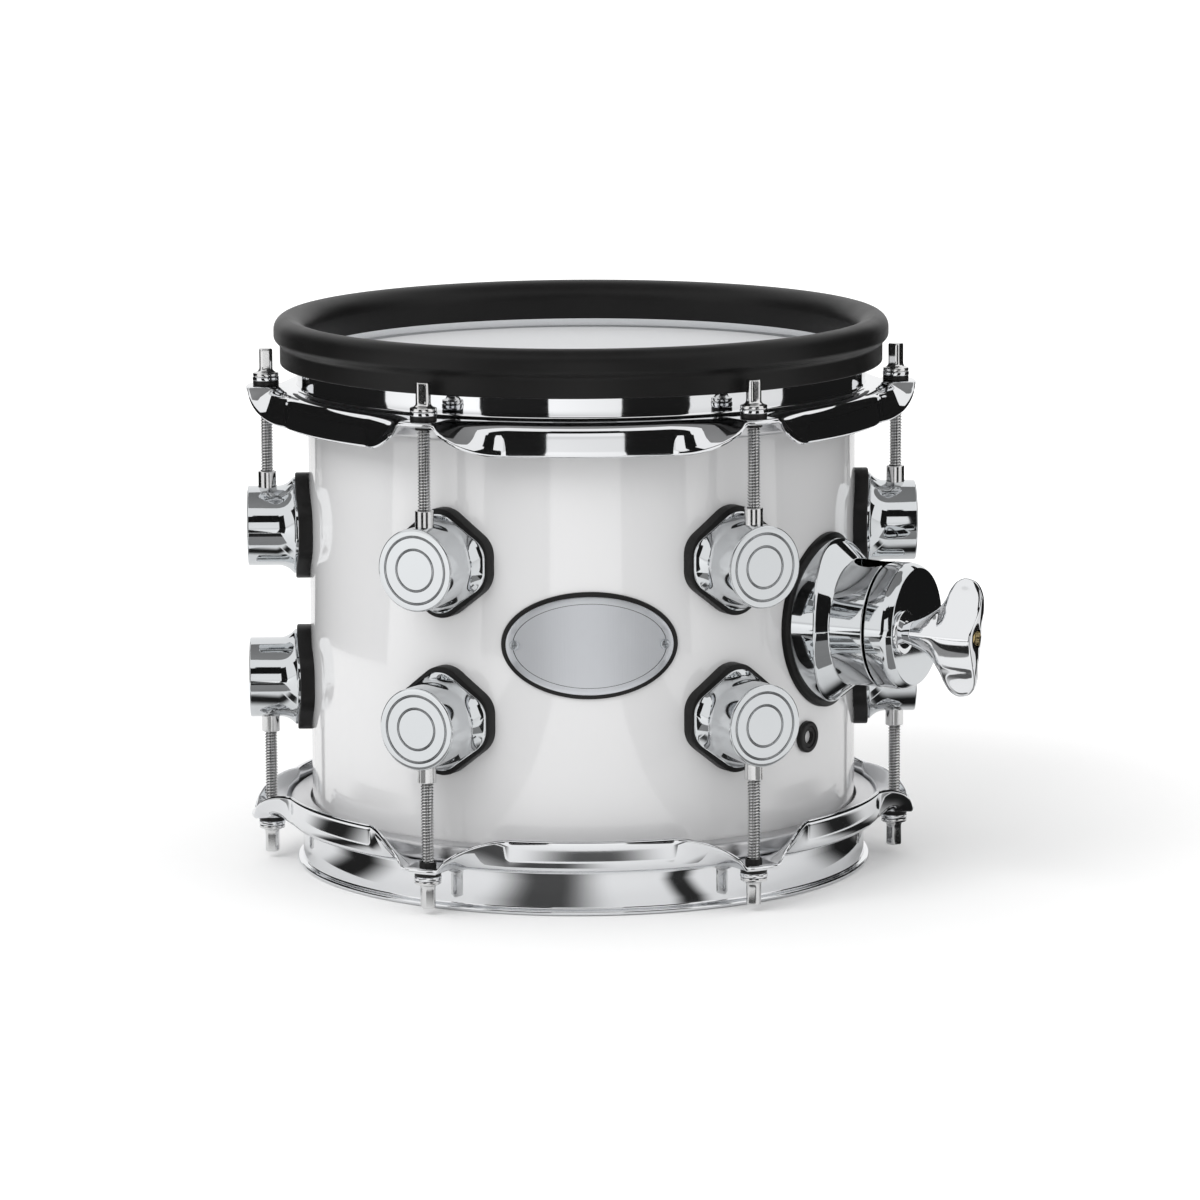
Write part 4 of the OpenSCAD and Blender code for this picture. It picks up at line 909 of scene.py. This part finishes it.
floor_shade = (0.93, 0.93, 0.93)
flag_r = 3.4
strip_in, strip_out = 0.13, 0.32
cloth_z = 0.001
for side in (-1, 1):
    for start, end, near in ((14, 41, 0.75), (84, 148, 0.66)):
        card(f"flag_{side * start}", sector(side * start, side * end, flag_r, flag_r, 0, 2.4))
        card(f"cloth_{side * start}", sector(side * start, side * end, near, flag_r, cloth_z, cloth_z))
    for name, start, end, shade in (("far", -0.65, -0.36, 0.02), ("near", -0.36, -0.14, 0.26)):
        x, y = np.meshgrid(side * np.array([strip_in, strip_out]), [start, end])
        card(f"{name}_strip_{side}", np.stack([x, y, 0 * x + cloth_z], -1), shade)
card("front_flag", sector(-14, 14, flag_r, flag_r, 1.2, 2.7))
card("ceiling_cloth", sector(-180, 180, 0.02, 1.7, 2.9, 2.9), 0.25)
for start, end, near, far, shade in (
        (-27, 6, 0.15, 0.205, 0.08), (18, 29, 0.15, 0.205, 0.03), (-84, -53, 0.15, 0.205, 0.02),
        (63, 108, 0.15, 0.205, 0.02), (-20, 22, 0.217, 0.246, 0.1),
        (-99, -60, 0.213, 0.30, 0.02), (63, 99, 0.213, 0.30, 0.02)):
    card(f"near_cloth_{start}_{int(1000 * far)}",
         sector(start, end, near, far, cloth_z, cloth_z), shade, soft=0.4)

floor_size = 40.0
floor_mesh = bpy.data.meshes.new("floor")
floor_mesh.from_pydata(np.array([[-1, -1, 0], [1, -1, 0], [1, 1, 0], [-1, 1, 0]]) * floor_size
                       - [0, 0, 0.0003], [], [[0, 1, 2, 3]])
floor = bpy.data.objects.new("floor", floor_mesh)
bpy.context.scene.collection.objects.link(floor)
pale = finish("pale_floor", floor_shade, 0.8, tint=0.002, swing=0.02, spots=3.0, grain=60.0,
              relief=0.01, Specular_IOR_Level=0.0, Emission_Color=(1, 1, 1, 1))
tree = pale.node_tree
away = node(tree, "ShaderNodeVectorMath",
            {0: node(tree, "ShaderNodeTexCoord").outputs["Object"]}, operation="LENGTH")
glow = node(tree, "ShaderNodeMapRange", {
    "Value": away.outputs["Value"], "From Min": 0.15, "From Max": 0.8, "To Min": 0.09, "To Max": 0.45,
}, interpolation_type="SMOOTHSTEP")
seen = node(tree, "ShaderNodeMath", {0: node(tree, "ShaderNodeLightPath").outputs["Is Camera Ray"],
                                     1: glow.outputs["Result"]}, operation="MULTIPLY")
tree.links.new(seen.outputs[0], tree.nodes["Principled BSDF"].inputs["Emission Strength"])
floor_mesh.materials.append(pale)

world = bpy.data.worlds.new("studio")
bpy.context.scene.world = world
world.use_nodes = True
tree = world.node_tree
path = node(tree, "ShaderNodeLightPath").outputs
looks = node(tree, "ShaderNodeMath",
             {0: path["Is Camera Ray"], 1: path["Is Glossy Ray"]}, operation="MAXIMUM")
looks = node(tree, "ShaderNodeMath",
             {0: looks.outputs[0], 1: path["Is Transmission Ray"]}, operation="MAXIMUM")
level = node(tree, "ShaderNodeMapRange", {"Value": looks.outputs[0], "To Min": 0.85, "To Max": 1.0})
tree.links.new(level.outputs["Result"], tree.nodes["Background"].inputs["Strength"])
tree.nodes["Background"].inputs["Color"].default_value = (1, 1, 1, 1)

lamp = bpy.data.lights.new("soft_box", "AREA")
lamp.shape, lamp.size, lamp.size_y, lamp.energy = "RECTANGLE", 2.0, 1.6, 34.0
soft_box = bpy.data.objects.new("soft_box", lamp)
soft_box.location = (-1.5, -1.7, 2.2)
soft_box.rotation_euler = (math.radians(45), 0, math.radians(-41))
soft_box.visible_glossy = False
bpy.context.scene.collection.objects.link(soft_box)

# Camera fitted to the photograph: it looks at a point on the drum's axis from a little left of the
# badge, and the lens and shift come from the picture's frame of 1200 pixels.
aim = np.array([0, 0, 0.110])
distance, raised_deg, round_deg, roll_deg = 2.6825, 9.82, -1.45, -0.3
focal_px, centre_x, centre_y, picture = 5737.3, 582.5, 623.0, 1200
elevation, azimuth = math.radians(raised_deg), math.radians(round_deg)
back = np.array([math.sin(azimuth) * math.cos(elevation), -math.cos(azimuth) * math.cos(elevation),
                 math.sin(elevation)])
lens = bpy.data.cameras.new("camera")
lens.sensor_width = 36.0
lens.lens = lens.sensor_width * focal_px / picture
lens.shift_x = (picture / 2 - centre_x) / picture
lens.shift_y = (centre_y - picture / 2) / picture
lens.clip_end = 200.0
camera = bpy.data.objects.new("camera", lens)
camera.location = aim + distance * back
camera.rotation_euler = (Matrix.Rotation(azimuth, 3, "Z")
                         @ Matrix.Rotation(math.pi / 2 - elevation, 3, "X")
                         @ Matrix.Rotation(math.radians(roll_deg), 3, "Z")).to_euler()
bpy.context.scene.collection.objects.link(camera)
bpy.context.scene.camera = camera
bpy.context.scene.view_settings.view_transform = "Standard"
